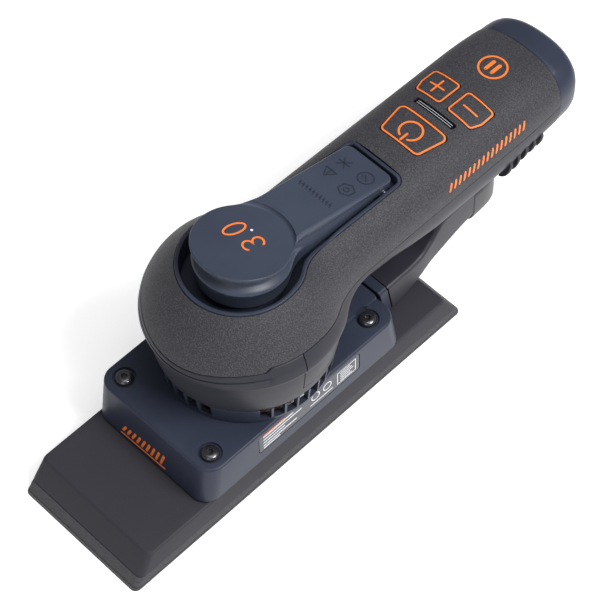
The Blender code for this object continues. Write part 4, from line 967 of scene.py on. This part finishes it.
def make_motor_housing():
    count = 240
    columns = []
    belt = []
    for index in range(13):
        height = 50.9 + (72.2 - 50.9) * index / 12
        belt.append((dome_radius(height), height))
    belt[0] = (belt[0][0] - 0.25, 50.9)
    belt.insert(1, (dome_radius(51.2), 51.2))
    belt += [(41.75, 72.6), (41.95, 72.8), (43.0, 73.7), (43.25, 74.0), (43.4, 74.6), (43.4, 75.2)]
    for index in range(count):
        angle = 2.0 * math.pi * index / count
        turn = abs(math.degrees(math.atan2(math.sin(angle), math.cos(angle))))
        top = seam_height(turn) - 0.55
        line = 76.0 + 3.2 * smoothstep((180.0 - turn) / 58.0)
        depth = 0.8 * smoothstep((turn - 117.0) / 4.0)
        outer = list(belt)
        for offset, share in ((-0.4, 0.0), (-0.22, 1.0), (0.22, 1.0), (0.4, 0.0)):
            height = line + offset
            outer.append((dome_radius(height) - depth * share, height))
        outer += [(dome_radius(top - 0.3), top - 0.3), (dome_radius(top) - 0.3, top - 0.02)]
        slope = dome_radius(top + 0.5) - dome_radius(top - 0.5)
        wall = SHELL_WALL / math.hypot(1.0, slope)
        inner = [(dome_radius(top) - wall, top + wall * slope - 0.3), (41.0, DOME_MID), (39.0, 71.0),
                 (36.2, RING_TOP + 0.3)]
        columns.append([(radius * math.cos(angle), radius * math.sin(angle), z)
                        for radius, z in outer + inner])
    rows = len(columns[0])
    points = [point for column in columns for point in column]
    faces = []
    for index in range(count):
        after = (index + 1) % count
        for row in range(rows):
            above = (row + 1) % rows
            faces.append((index * rows + row, after * rows + row, after * rows + above,
                          index * rows + above))
    housing = mesh_piece("motor_shell", points, faces, GREY)
    edge = math.radians(97.6)
    sector = [(0.0, 0.0), (60.0 * math.cos(edge), -60.0 * math.sin(edge)), (60.0, -62.0), (60.0, 62.0),
              (60.0 * math.cos(edge), 60.0 * math.sin(edge))]
    cut(housing, [prism("sector_helper", sector, HOUSING_REAR_TOP, 95.0)])
    settle(housing, "housing", ("motor_housing",))


make_vent_ring()
make_motor_housing()


# ---------------------------------------------------------------- shells

def trim_opening(offset):
    return keyhole_outline(TRIM_RADIUS + offset, TRIM_HALF_WIDTH + offset, TRIM_BLEND - offset,
                           TRIM_END + offset, TRIM_CORNER + offset)


def power_outline(grow=0.0):
    corners = [(90.9 - grow, 10.9 + grow), (90.9 - grow, -10.9 - grow), (108.0 + grow, -13.9 - grow),
               (108.0 + grow, 13.9 + grow)]
    return round_corners(corners, 2.4)


def step_outline(sign, grow=0.0):
    corners = [(118.3 - grow, 2.0 - grow), (118.3 - grow, 16.0 + grow), (124.0, 17.7 + grow),
               (132.5 + grow, 17.5 + grow), (132.5 + grow, 2.0 - grow)]
    return [(x, y * sign) for x, y in round_corners(corners, 1.5)]


def led_outline(grow=0.0):
    return rounded_rectangle(112.2 - grow, 115.0 + grow, 11.2 + grow, 1.0)


def make_upper_shell():
    columns = []
    for leg, share in stations(56, 22, 30):
        columns.append([upper_point(leg, share, level / 24) for level in range(25)])
    shell = shell_piece("upper_skin", columns, GRAIN, SHELL_WALL, (), None)
    cut(shell, [prism("opening_helper", trim_opening(0.35), 80.0, 120.0)])
    cut(shell, [prism("power_helper", power_outline(0.3), 88.0, 110.0),
                prism("plus_helper", step_outline(1.0, 0.3), 86.0, 110.0),
                prism("minus_helper", step_outline(-1.0, 0.3), 86.0, 110.0),
                prism("led_helper", led_outline(0.25), 86.0, 110.0)])
    soften(shell, 0.3, 2, 55.0)
    settle(shell, "housing", ("upper_shell",))


def rib_ring(x, grow):
    depth = HANDLE_MID - handle_bottom(x)
    ring = []
    for outward, steps in ((True, range(25)), (False, range(24, -1, -1))):
        for index in steps:
            turn = math.radians(12.0 + 156.0 * index / 24)
            side = math.cos(turn)
            if outward:
                share = math.copysign(math.sqrt(abs(side)), side)
                drop = (depth + grow) * math.sqrt(math.sin(turn))
                ring.append((x, share * (handle_half_width(x) - 0.8 + grow), HANDLE_MID - drop))
            else:
                share = math.copysign(abs(side) ** (2.0 / BELLY_POWER), side)
                drop = (depth - 1.2) * math.sin(turn) ** (2.0 / BELLY_POWER)
                ring.append((x, share * (handle_half_width(x) - 1.2), HANDLE_MID - drop))
    return ring


def make_lower_shell():
    columns = []
    for leg, share in stations(20, 24, 40):
        columns.append([lower_point(leg, share, level / 30) for level in range(31)])
    shell = shell_piece("lower_skin", columns, GREY, SHELL_WALL, (), None)
    edges = ((-0.9, 0.7), (-0.6, 1.0), (0.6, 1.0), (0.9, 0.7))
    ribs = [[rib_ring(x + shift, grow) for shift, grow in edges]
            for x in (135.2, 140.2, 145.2, 150.2, 155.2)]
    cut(shell, [join_shapes("rib_helper", ribs)], "UNION")
    slots = []
    for x in (142.7, 147.7, 152.7):
        for sign in (-1.0, 1.0):
            outline = [(x + dx, sign * 13.0 + dy) for dx, dy in rounded_rectangle(-1.2, 1.2, 6.0, 1.1)]
            slots.append([[(px, py, z) for px, py in outline] for z in (40.0, 60.0)])
    cut(shell, [join_shapes("slot_helper", slots)])
    for ends, half_width in (((93.0, 132.5), 21.8), ((131.0, 138.4), 20.3)):
        channel = rounded_rectangle(-half_width, half_width, 14.0, 4.0)
        cut(shell, [block_along_x("channel_helper", channel, CHANNEL_HEIGHT, ends)])
    holes = [[[(x, y, z) for x, y in circle(1.8, 24, (162.6, side))] for z in (40.0, 66.0)]
             for side in (12.0, -12.0)]
    cut(shell, [join_shapes("screw_helper", holes)])
    settle(shell, "housing", ("lower_shell",))


make_upper_shell()
make_lower_shell()


# ---------------------------------------------------------------- rear cap and inlet

def cap_ring(x, scale, count=48):
    width = handle_half_width(HANDLE_END) * scale
    top = (handle_top(HANDLE_END) - HANDLE_MID) * scale
    bottom = (HANDLE_MID - handle_bottom(HANDLE_END)) * scale
    upper = []
    lower = []
    for index in range(count + 1):
        turn = math.pi * index / count
        share = abs(math.cos(turn)) ** (2.0 / HANDLE_POWER)
        y = math.copysign(share, math.cos(turn)) * width
        bow = HANDLE_END_BOW * (y / handle_half_width(HANDLE_END)) ** 2
        upper.append((x - bow, y, HANDLE_MID + top * math.sin(turn) ** (2.0 / HANDLE_POWER)))
        drop = superellipse(min(share, 1.0), BELLY_POWER)
        lower.append((x - bow, y, HANDLE_MID - bottom * drop))
    return upper + lower[-2:0:-1]


def cap_loft(name, rings, finish):
    points, faces = loft(rings, False)
    count = len(rings[0])
    last = (len(rings) - 1) * count
    for index in range(count // 2):
        strip = [index, index + 1, (count - index - 1) % count, (count - index) % count]
        strip = list(dict.fromkeys(strip))
        faces.append(tuple(strip))
        faces.append(tuple(last + corner for corner in reversed(strip)))
    return mesh_piece(name, points, faces, finish)


def make_rear_cap():
    start = HANDLE_END + 0.3
    stops = ((0.0, 0.992), (0.25, 1.0), (3.0, 0.999), (5.4, 0.993), (7.6, 0.983), (9.6, 0.963), (11.0, 0.938),
             (12.0, 0.90), (12.8, 0.86), (13.3, 0.82), (13.4, 0.795))
    cap = cap_loft("end_cap", [cap_ring(start + step, scale) for step, scale in stops], NAVY)
    inner = ((start - 2.0, 0.90), (start + 4.4, 0.89), (start + 7.6, 0.86), (start + 10.0, 0.70))
    cut(cap, [cap_loft("cap_helper", [cap_ring(x, scale, 24) for x, scale in inner], BLACK)])
    opening = rounded_rectangle(-14.0, 14.0, 9.6, 3.0)
    cut(cap, [block_along_x("opening_helper", opening, INLET_HEIGHT, (174.0, 187.0))])
    soften(cap, 0.4, 2, 45.0)
    settle(cap, "housing", ("rear_cap",))
    body = rounded_rectangle(-13.6, 13.6, 9.2, 2.7)
    inlet = block_along_x("inlet_block", body, INLET_HEIGHT, (166.4, 182.4))
    mouth = rounded_rectangle(-11.2, 11.2, 6.8, 2.0)
    cut(inlet, [block_along_x("mouth_helper", mouth, INLET_HEIGHT, (169.0, 184.0))])
    soften(inlet, 0.35, 2, 45.0)
    settle(inlet, "housing", ("power_inlet",))


make_rear_cap()


# ---------------------------------------------------------------- bezel and lever

def rim_height(x, y):
    dome_z = dome_height(math.hypot(x, y))
    return dome_z + (handle_height(x, y) - dome_z) * smoothstep((x - 6.0) / 36.0)


def pivot_bore(name):
    return block_along_y(name, circle(PIN_BORE, 24), (-20.0, 20.0), (PIVOT_X, PIVOT_Z))


def make_trim():
    outer = trim_opening(0.0)
    heights = [rim_height(x, y) + 0.4 for x, y in outer]
    rings = [[(x, y, WELL_FLOOR - 1.6) for x, y in outer]]
    stops = ((0.0, -0.55), (-0.06, -0.3), (-0.2, -0.1), (-0.45, 0.0), (-1.2, 0.0), (-1.5, -0.12),
             (-1.65, -0.35), (-1.7, -0.7))
    for offset, drop in stops:
        rings.append([(x, y, z + drop) for (x, y), z in zip(trim_opening(offset), heights)])
    rings.append([(x, y, WELL_FLOOR) for x, y in trim_opening(-1.7)])
    trim = loft_piece("bezel_frame", rings, NAVY)
    cut(trim, [plug("plunger_helper", 3.4, 85.0, 95.0, 32, (PLUNGER_X, 0.0)),
               prism("lug_helper", [(65.6, -13.2), (74.4, -13.2), (74.4, 13.2), (65.6, 13.2)],
                     85.0, 93.0)])
    cut(trim, [pivot_bore("pin_helper")])
    settle(trim, "housing", ("bezel_trim",))


def dish_height(x):
    return 115.5 - 0.2 * x


def lever_top(x):
    front = dish_height(x) + 1.0
    arm = 99.0 + 0.263 * (LEVER_END - x)
    return front + (arm - front) * smoothstep((x - 12.0) / 8.0)


def lever_bottom(x):
    return 97.5 - 0.035 * x


def lever_place(x, y, share):
    return (x, y, lever_top(x) + (lever_bottom(x) - lever_top(x)) * share)


def lever_ring(radius, half_width, disc_share, tail_share, shrink=1.0):
    end_x = LEVER_END - 12.0 * (1.0 - shrink)
    outline = keyhole_outline(radius * shrink, half_width * shrink, 22.0, end_x, 3.0 * shrink, LEVER_X)
    return [lever_place(x, y, disc_share + (tail_share - disc_share) * smoothstep((x - 14.0) / 18.0))
            for x, y in outline]


def make_lever():
    levels = ((19.7, 12.3, 0.0, 0.0), (19.85, 12.6, 0.02, 0.02), (20.1, 12.85, 0.045, 0.05),
              (20.4, 13.02, 0.057, 0.09), (20.58, 13.1, 0.068, 0.14), (20.6, 13.1, 0.09, 0.20),
              (20.45, 13.1, 0.13, 0.26), (19.6, 13.0, 0.17, 0.29), (18.2, 12.9, 0.21, 0.34),
              (17.2, 12.8, 0.27, 0.41), (16.6, 12.8, 0.35, 0.48), (16.9, 12.8, 0.41, 0.54),
              (17.8, 12.8, 0.46, 0.60), (19.2, 12.8, 0.50, 0.64), (20.0, 12.8, 0.53, 0.68),
              (20.4, 12.8, 0.56, 0.72), (20.5, 12.8, 0.585, 0.77), (20.3, 12.75, 0.61, 0.81),
              (19.9, 12.7, 0.65, 0.86), (19.7, 12.6, 1.0, 1.0))
    rings = [lever_ring(*level) for level in reversed(levels)]
    rings += [lever_ring(19.7, 12.3, 0.0, 0.0, shrink) for shrink in (0.95, 0.8, 0.6, 0.4, 0.2)]
    lever = loft_piece("thumb_paddle", rings, LEVER_NAVY, sharp=30.0)
    dish = []
    for radius, rise in ((20.45, 0.0), (20.75, 0.04), (21.1, 0.18), (21.45, 0.45), (21.8, 0.85),
                         (22.1, 1.35), (22.5, 2.2), (24.5, 6.0)):
        dish.append([(x, y, dish_height(x) + rise) for x, y in circle(radius, 160, (LEVER_X, 0.0))])
    cut(lever, [helper("dish_helper", dish)], "DIFFERENCE", 30.0)
    lug = []
    for index in range(17):
        angle = math.radians(180.0 + 180.0 * index / 16)
        lug.append(turn_about((PIVOT_X, PIVOT_Z), 2.7, angle))
    lug += [(PIVOT_X + 2.7, 97.0), (PIVOT_X - 2.7, 97.0)]
    plunger = [(0.0, 89.0), (2.6, 89.0), (2.8, 99.0), (0.0, 99.0)]
    cut(lever, [block_along_y("lug_block", lug, (-12.4, 12.4)),
                lathe("plunger_block", plunger, BLACK, 32, (PLUNGER_X, 0.0))], "UNION")
    cut(lever, [pivot_bore("bore_helper")], "DIFFERENCE", 30.0)
    settle(lever, "lever", ("paddle_lever",))


def make_return_spring():
    """Coil under the lever arm, built at one fixed length; the real one shortens as the lever goes down."""
    low = WELL_FLOOR + 0.8
    high = lever_bottom(SPRING_X) - 0.9
    steps = 60
    path = []
    for index in range(steps + 1):
        rise = index / steps
        angle = 2.0 * math.pi * SPRING_TURNS * rise
        path.append((SPRING_X + 5.0 * math.cos(angle), 5.0 * math.sin(angle), low + (high - low) * rise))
    spring = loft_piece("return_spring", round_bar(path, 0.5), STEEL, "housing", ("lever_spring",),
                        "bright_steel")
    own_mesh(spring)


make_trim()
make_lever()
make_return_spring()


# ---------------------------------------------------------------- buttons

def crowned_key(name, outline, bottom, finish, body, node, slot, sunk=0.0):
    centre_x = (min(x for x, y in outline) + max(x for x, y in outline)) / 2.0
    centre_y = (min(y for x, y in outline) + max(y for x, y in outline)) / 2.0
    rings = [[(x, y, bottom) for x, y in outline]]
    for scale, drop in ((1.0, 0.45), (0.997, 0.2), (0.985, 0.05), (0.96, 0.0), (0.85, 0.0), (0.7, 0.0),
                        (0.5, 0.0), (0.3, 0.0), (0.1, 0.0)):
        ring = []
        for x, y in outline:
            px = centre_x + (x - centre_x) * scale
            py = centre_y + (y - centre_y) * scale
            ring.append((px, py, handle_height(px, py) + 0.1 - drop - sunk))
        rings.append(ring)
    return loft_piece(name, rings, finish, body, (node,), slot)


for key, outline, bottom in (("power", power_outline(), 92.2), ("plus", step_outline(1.0), 91.4),
                             ("minus", step_outline(-1.0), 91.4)):
    button = key + "_button"
    crowned_key(key + "_key", outline, bottom, GRAIN, button, button, "textured_charcoal")
crowned_key("status_window", led_outline(), 92.6, GLASS, "housing", "led_window", "black_glass", 0.5)

key_face = crown_surface(0.1)
power_symbol = [(arc((99.0, 0.0), 5.1, 205.0, 515.0, 44), 0.95, False), bar((92.6, 0.0), (96.8, 0.0), 0.95)]
plus_symbol = [bar((121.5, 9.6), (129.1, 9.6), 0.8), bar((125.3, 5.8), (125.3, 13.4), 0.8)]
minus_symbol = [bar((125.3, -5.8), (125.3, -13.4), 0.8)]
for key, outline, width, symbol in (("power", power_outline(-0.5), 0.78, power_symbol),
                                    ("plus", step_outline(1.0, -0.5), 0.72, plus_symbol),
                                    ("minus", step_outline(-1.0, -0.5), 0.72, minus_symbol)):
    border = [(dense(outline, 1.0, True), width, True)]
    print_marks(key + "_outline_print", border, key_face, ORANGE, key + "_button")
    print_marks(key + "_symbol_print", symbol, key_face, ORANGE, key + "_button")
guides = [bar((x, -9.8), (x, 9.8), 0.22, 1.0) for x in (113.0, 114.1)]
print_marks("light_guides", guides, crown_surface(-0.4), LIGHT_GUIDE, "housing")
side_face = flank_surface(-1.0)
bars = []
for index in range(17):
    left = 95.6 + 2.85 * index
    bars.append(bar((left, 82.9), (left + 1.5, 85.9), 1.05))
print_marks("side_bars", bars, side_face, ORANGE, "housing", 1.0, PRINT_LIFT)
emblem = [(arc((149.8, 0.0), 6.3, 0.0, 352.0, 44), 0.9, True)]
emblem += [bar((147.2, y), (152.4, y), 1.7) for y in (1.7, -1.7)]
print_marks("crown_emblem", emblem, crown_surface(), ORANGE, "housing")


def dish_face(x, y):
    return Vector((x, y, dish_height(x)))


def arm_face(x, y):
    return Vector((x, y, lever_top(x)))


def glyph(centre, turn, path):
    """Reading-frame points (right, up) turned into place: right is +Y, up is -X."""
    cosine = math.cos(math.radians(turn))
    sine = math.sin(math.radians(turn))
    made = []
    for right_share, up_share in path:
        along = right_share * cosine - up_share * sine
        high = right_share * sine + up_share * cosine
        made.append((centre[0] - high, centre[1] + along))
    return made


def oval(half_width, half_height, steps=40):
    angles = [2.0 * math.pi * index / steps for index in range(steps)]
    return [(half_width * math.cos(angle), half_height * math.sin(angle)) for angle in angles]


def three_path(half_width, half_height):
    bowl = half_height / 2.0
    path = []
    for index in range(15):
        angle = math.radians(150.0 - 240.0 * index / 14)
        path.append((half_width * math.cos(angle), bowl + bowl * math.sin(angle)))
    for index in range(1, 15):
        angle = math.radians(90.0 - 240.0 * index / 14)
        path.append((half_width * math.cos(angle), -bowl + bowl * math.sin(angle)))
    return path


digits = [(glyph((4.0, 7.0), DIGIT_TURN, oval(2.5, 5.0)), 0.85, True),
          (glyph((4.3, -3.6), DIGIT_TURN, three_path(2.5, 4.6)), 0.85, False)]
point = [(arc((8.9, 2.1), 0.3, 0.0, 330.0, 11), 0.55, True)]
print_marks("speed_digits", digits, dish_face, ORANGE, "lever", 1.0, PRINT_LIFT)
print_marks("speed_point", point, dish_face, PALE_INK, "lever", 1.0, PRINT_LIFT)

icons = [(((57.9, 8.8), (53.2, 5.9), (57.9, 3.0)), 0.5, True),
         (((58.3, 5.9), (54.9, 5.9)), 0.5, False),
         (arc((65.8, -6.0), 3.5, 0.0, 350.0, 35), 0.55, True),
         bar((64.5, -7.3), (67.0, -4.8), 0.55),
         bar((64.5, -5.0), (66.2, -3.9), 0.45),
         (arc((54.5, -6.0), 3.6, 0.0, 300.0, 5), 0.55, True),
         (arc((54.5, -6.0), 1.2, 0.0, 330.0, 20), 0.5, True),
         bar((62.6, 7.8), (67.8, 3.8), 0.5), bar((62.6, 3.8), (67.8, 7.8), 0.5),
         bar((65.2, 2.8), (65.2, 8.8), 0.5)]
for step in range(10):
    middle = 8.6 - 1.9 * step
    icons.append((((43.8, middle + 0.5), (41.4, middle - 0.5)), 0.42, False))
    icons.append((((42.6, middle + 0.6), (42.6, middle - 0.3)), 0.36, False))
print_marks("embossed_signs", icons, arm_face, LEVER_EMBOSS, "lever", 1.0, 0.16)

front_lean = SHROUD_FLARE / (SHROUD_TOP - SHROUD_BOTTOM)


def front_face(y, z):
    return Vector((SHROUD_FRONT - front_lean * (SHROUD_TOP - z), y, z))


front_marks = [(((17.6, 19.4), (-9.4, 20.4)), 0.7, False)]
for step in range(9):
    edge = 16.4 - 2.9 * step
    front_marks.append((((edge, 21.9), (edge - 1.4, 24.6 + 0.35 * step)), 1.3, False))
print_marks("front_bars", front_marks, front_face, ORANGE, "housing", -1.0, 0.08)


# ---------------------------------------------------------------- dust duct

DUCT_SECTIONS = ((66.8, 21.4, 41.2, 22.6, 4.0, 1.8, 1.0), (72.0, 22.6, 41.6, 22.7, 4.0, 1.8, 0.7),
                 (78.0, 24.6, 41.8, 22.7, 4.0, 1.8, 0.3), (84.0, 27.0, 42.6, 22.4, 4.0, 1.9, 0.0),
                 (89.0, 28.8, 45.0, 21.8, 4.0, 2.0, 0.0), (92.6, 29.8, 47.6, 21.4, 4.0, 2.2, 0.0),
                 (98.0, 31.4, 54.4, 21.3, 4.2, 3.0, 0.0), (102.0, 32.6, 56.6, 21.3, 4.6, 3.6, 0.0),
                 (110.0, 33.6, 57.0, 21.2, 6.5, 3.6, 0.0), (118.0, 33.0, 57.0, 21.0, 9.0, 3.6, 0.0))
DUCT_LEAN = -SHROUD_FLARE / (SHROUD_TOP - SHROUD_BOTTOM)


def duct_ring(x, low, high, half_width, low_corner, high_corner, lean):
    ring = []
    corners = ((half_width, high, high_corner, 0.0), (-half_width, high, high_corner, 90.0),
               (-half_width, low, low_corner, 180.0), (half_width, low, low_corner, 270.0))
    for y_edge, z_edge, corner, start in corners:
        centre_y = y_edge - math.copysign(corner, y_edge)
        centre_z = z_edge - corner if start < 180.0 else z_edge + corner
        for index in range(11):
            angle = math.radians(start + 9.0 * index)
            z = centre_z + corner * math.sin(angle)
            ring.append((x + lean * DUCT_LEAN * (z - SHROUD_BOTTOM), centre_y + corner * math.cos(angle), z))
    return ring


def smooth_sections(sections, steps=4):
    """Sections with eased ones between them, so the duct has no creases."""
    made = []
    last = len(sections) - 1
    for index in range(last):
        p0 = sections[max(index - 1, 0)]
        p1, p2 = sections[index], sections[index + 1]
        p3 = sections[min(index + 2, last)]
        for step in range(steps):
            t = step / steps
            made.append(tuple(0.5 * (2.0 * b + (c - a) * t + (2.0 * a - 5.0 * b + 4.0 * c - d) * t * t
                                     + (3.0 * b - a - 3.0 * c + d) * t ** 3)
                              for a, b, c, d in zip(p0, p1, p2, p3)))
    made.append(sections[-1])
    return made


def make_duct():
    chamfer, full = (21.5, 41.1, 22.1), (21.2, 41.4, 22.4)
    stops = ((61.6, chamfer), (61.9, full), (66.1, full), (66.4, chamfer))
    outer = [duct_ring(x, *size, 4.0, 2.0, 1.0) for x, size in stops]
    collar = loft_piece("collar_frame", outer, NAVY)
    hole = [duct_ring(x, 24.0, 38.8, 19.6, 2.0, 2.0, 1.0) for x in (58.0, 70.0)]
    cut(collar, [helper("collar_helper", hole)])
    settle(collar, "housing", ("duct_collar",))
    skin = [duct_ring(*section) for section in smooth_sections(DUCT_SECTIONS)]
    # The duct shell takes the darker grey, painted shade for the shade under the handle.
    duct = loft_piece("duct_shell", skin, DUCT_GREY_PAINTED_SHADE)
    inner = []
    for x, low, high, half_width, low_corner, high_corner, lean in DUCT_SECTIONS:
        inner.append(duct_ring(x, low + 2.2, high - 2.2, half_width - 2.2, max(low_corner - 1.6, 1.4),
                               1.4, lean))
    first = duct_ring(64.0, 23.6, 39.0, 20.4, 2.4, 1.4, 1.0)
    last = duct_ring(120.0, 35.2, 54.8, 18.8, 7.4, 1.4, 0.0)
    cut(duct, [helper("duct_helper", [first] + inner + [last])])
    settle(duct, "housing", ("dust_duct",))
    stops = ((118.4, 0.3), (118.7, 0.0), (123.0, 0.15), (127.0, 0.5), (130.0, 1.1), (132.0, 1.8),
             (134.0, 2.8), (135.4, 3.8), (136.0, 4.6))
    rings = [duct_ring(x, 28.6, 56.6, 21.0 - inset, 12.0 - inset, 6.0, 0.0) for x, inset in stops]
    cuff = loft_piece("cuff_block", rings, BLACK)
    cut(cuff, [block_along_x("cuff_helper", circle(11.0, 72), OUTLET_HEIGHT, (110.0, 140.0))])
    settle(cuff, "housing", ("outlet_cuff",))
    spigot = [(8.9, 119.0), (10.7, 119.0), (10.7, 134.0), (10.5, 134.3), (10.7, 134.6), (10.7, 140.0),
              (10.5, 140.6), (9.9, 141.0), (9.1, 141.0), (8.9, 140.7)]
    lathe_along_x("spigot_tube", spigot, GREY, OUTLET_HEIGHT, 96, "housing", ("hose_spigot",),
                  "smooth_grey_plastic")


make_duct()


# ---------------------------------------------------------------- floor, light and camera

floor_points = [(x * FLOOR_REACH, y * FLOOR_REACH, 0.0) for x, y in ((-1, -1), (1, -1), (1, 1), (-1, 1))]
floor = mesh_piece("floor", floor_points, [(0, 1, 2, 3)], BLACK, outward=False)
floor.location.z = -0.05 * MM
floor_finish, floor_tree, floor_shader = new_material("pale_floor")
cloud = noise(floor_tree, object_coordinates(floor_tree), 3.0, 2.0, 0.5)
floor_tree.links.new(ramp(floor_tree, cloud, ((0.3, (0.80, 0.80, 0.805)), (0.7, (0.82, 0.82, 0.825)))),
                     floor_shader.inputs["Base Color"])
floor_shader.inputs["Roughness"].default_value = 0.9
floor_shader.inputs["Emission Color"].default_value = (1.0, 0.995, 1.0, 1.0)
floor_shader.inputs["Emission Strength"].default_value = 0.43
floor_shader.inputs["Specular IOR Level"].default_value = 0.1
floor.data.materials.clear()
floor.data.materials.append(floor_finish)

scene = bpy.context.scene
world = bpy.data.worlds.new("studio")
world.use_nodes = True
world.node_tree.nodes["Background"].inputs["Color"].default_value = (1.0, 1.0, 1.0, 1.0)
world.node_tree.nodes["Background"].inputs["Strength"].default_value = 0.25
scene.world = world
scene.view_settings.view_transform = "Standard"


def area_light(name, place, target, size, power):
    lamp = bpy.data.lights.new(name, "AREA")
    lamp.shape = "RECTANGLE"
    lamp.size, lamp.size_y = size
    lamp.energy = power
    item = bpy.data.objects.new(name, lamp)
    item.location = Vector(place)
    item.rotation_euler = (Vector(target) - Vector(place)).to_track_quat("-Z", "Y").to_euler()
    scene.collection.objects.link(item)


area_light("top_softbox", (0.1, -0.2, 1.5), (0.05, 0.0, 0.05), (1.0, 1.0), 9.0)
area_light("right_softbox", (0.25, -0.85, 1.2), (0.05, 0.0, 0.05), (0.6, 0.45), 23.0)
area_light("front_softbox", (-1.1, -0.5, 0.8), (0.0, 0.0, 0.05), (0.7, 0.9), 3.2)

azimuth = math.radians(CAMERA_AZIMUTH)
elevation = math.radians(CAMERA_ELEVATION)
roll = math.radians(CAMERA_ROLL)
back = Vector((math.sin(azimuth) * math.cos(elevation), -math.cos(azimuth) * math.cos(elevation),
               math.sin(elevation)))
level_right = Vector((math.cos(azimuth), math.sin(azimuth), 0.0))
level_up = back.cross(level_right)
right = level_right * math.cos(roll) + level_up * math.sin(roll)
up = level_up * math.cos(roll) - level_right * math.sin(roll)
eye = Vector(CAMERA_TARGET) * MM + back * CAMERA_DISTANCE * MM
lens = bpy.data.cameras.new("main_camera")
lens.lens = CAMERA_LENS
lens.sensor_width = SENSOR_WIDTH
lens.clip_end = 30.0
camera = bpy.data.objects.new("main_camera", lens)
camera.matrix_world = Matrix(((right.x, up.x, back.x, eye.x), (right.y, up.y, back.y, eye.y),
                              (right.z, up.z, back.z, eye.z), (0.0, 0.0, 0.0, 1.0)))
scene.collection.objects.link(camera)
scene.camera = camera
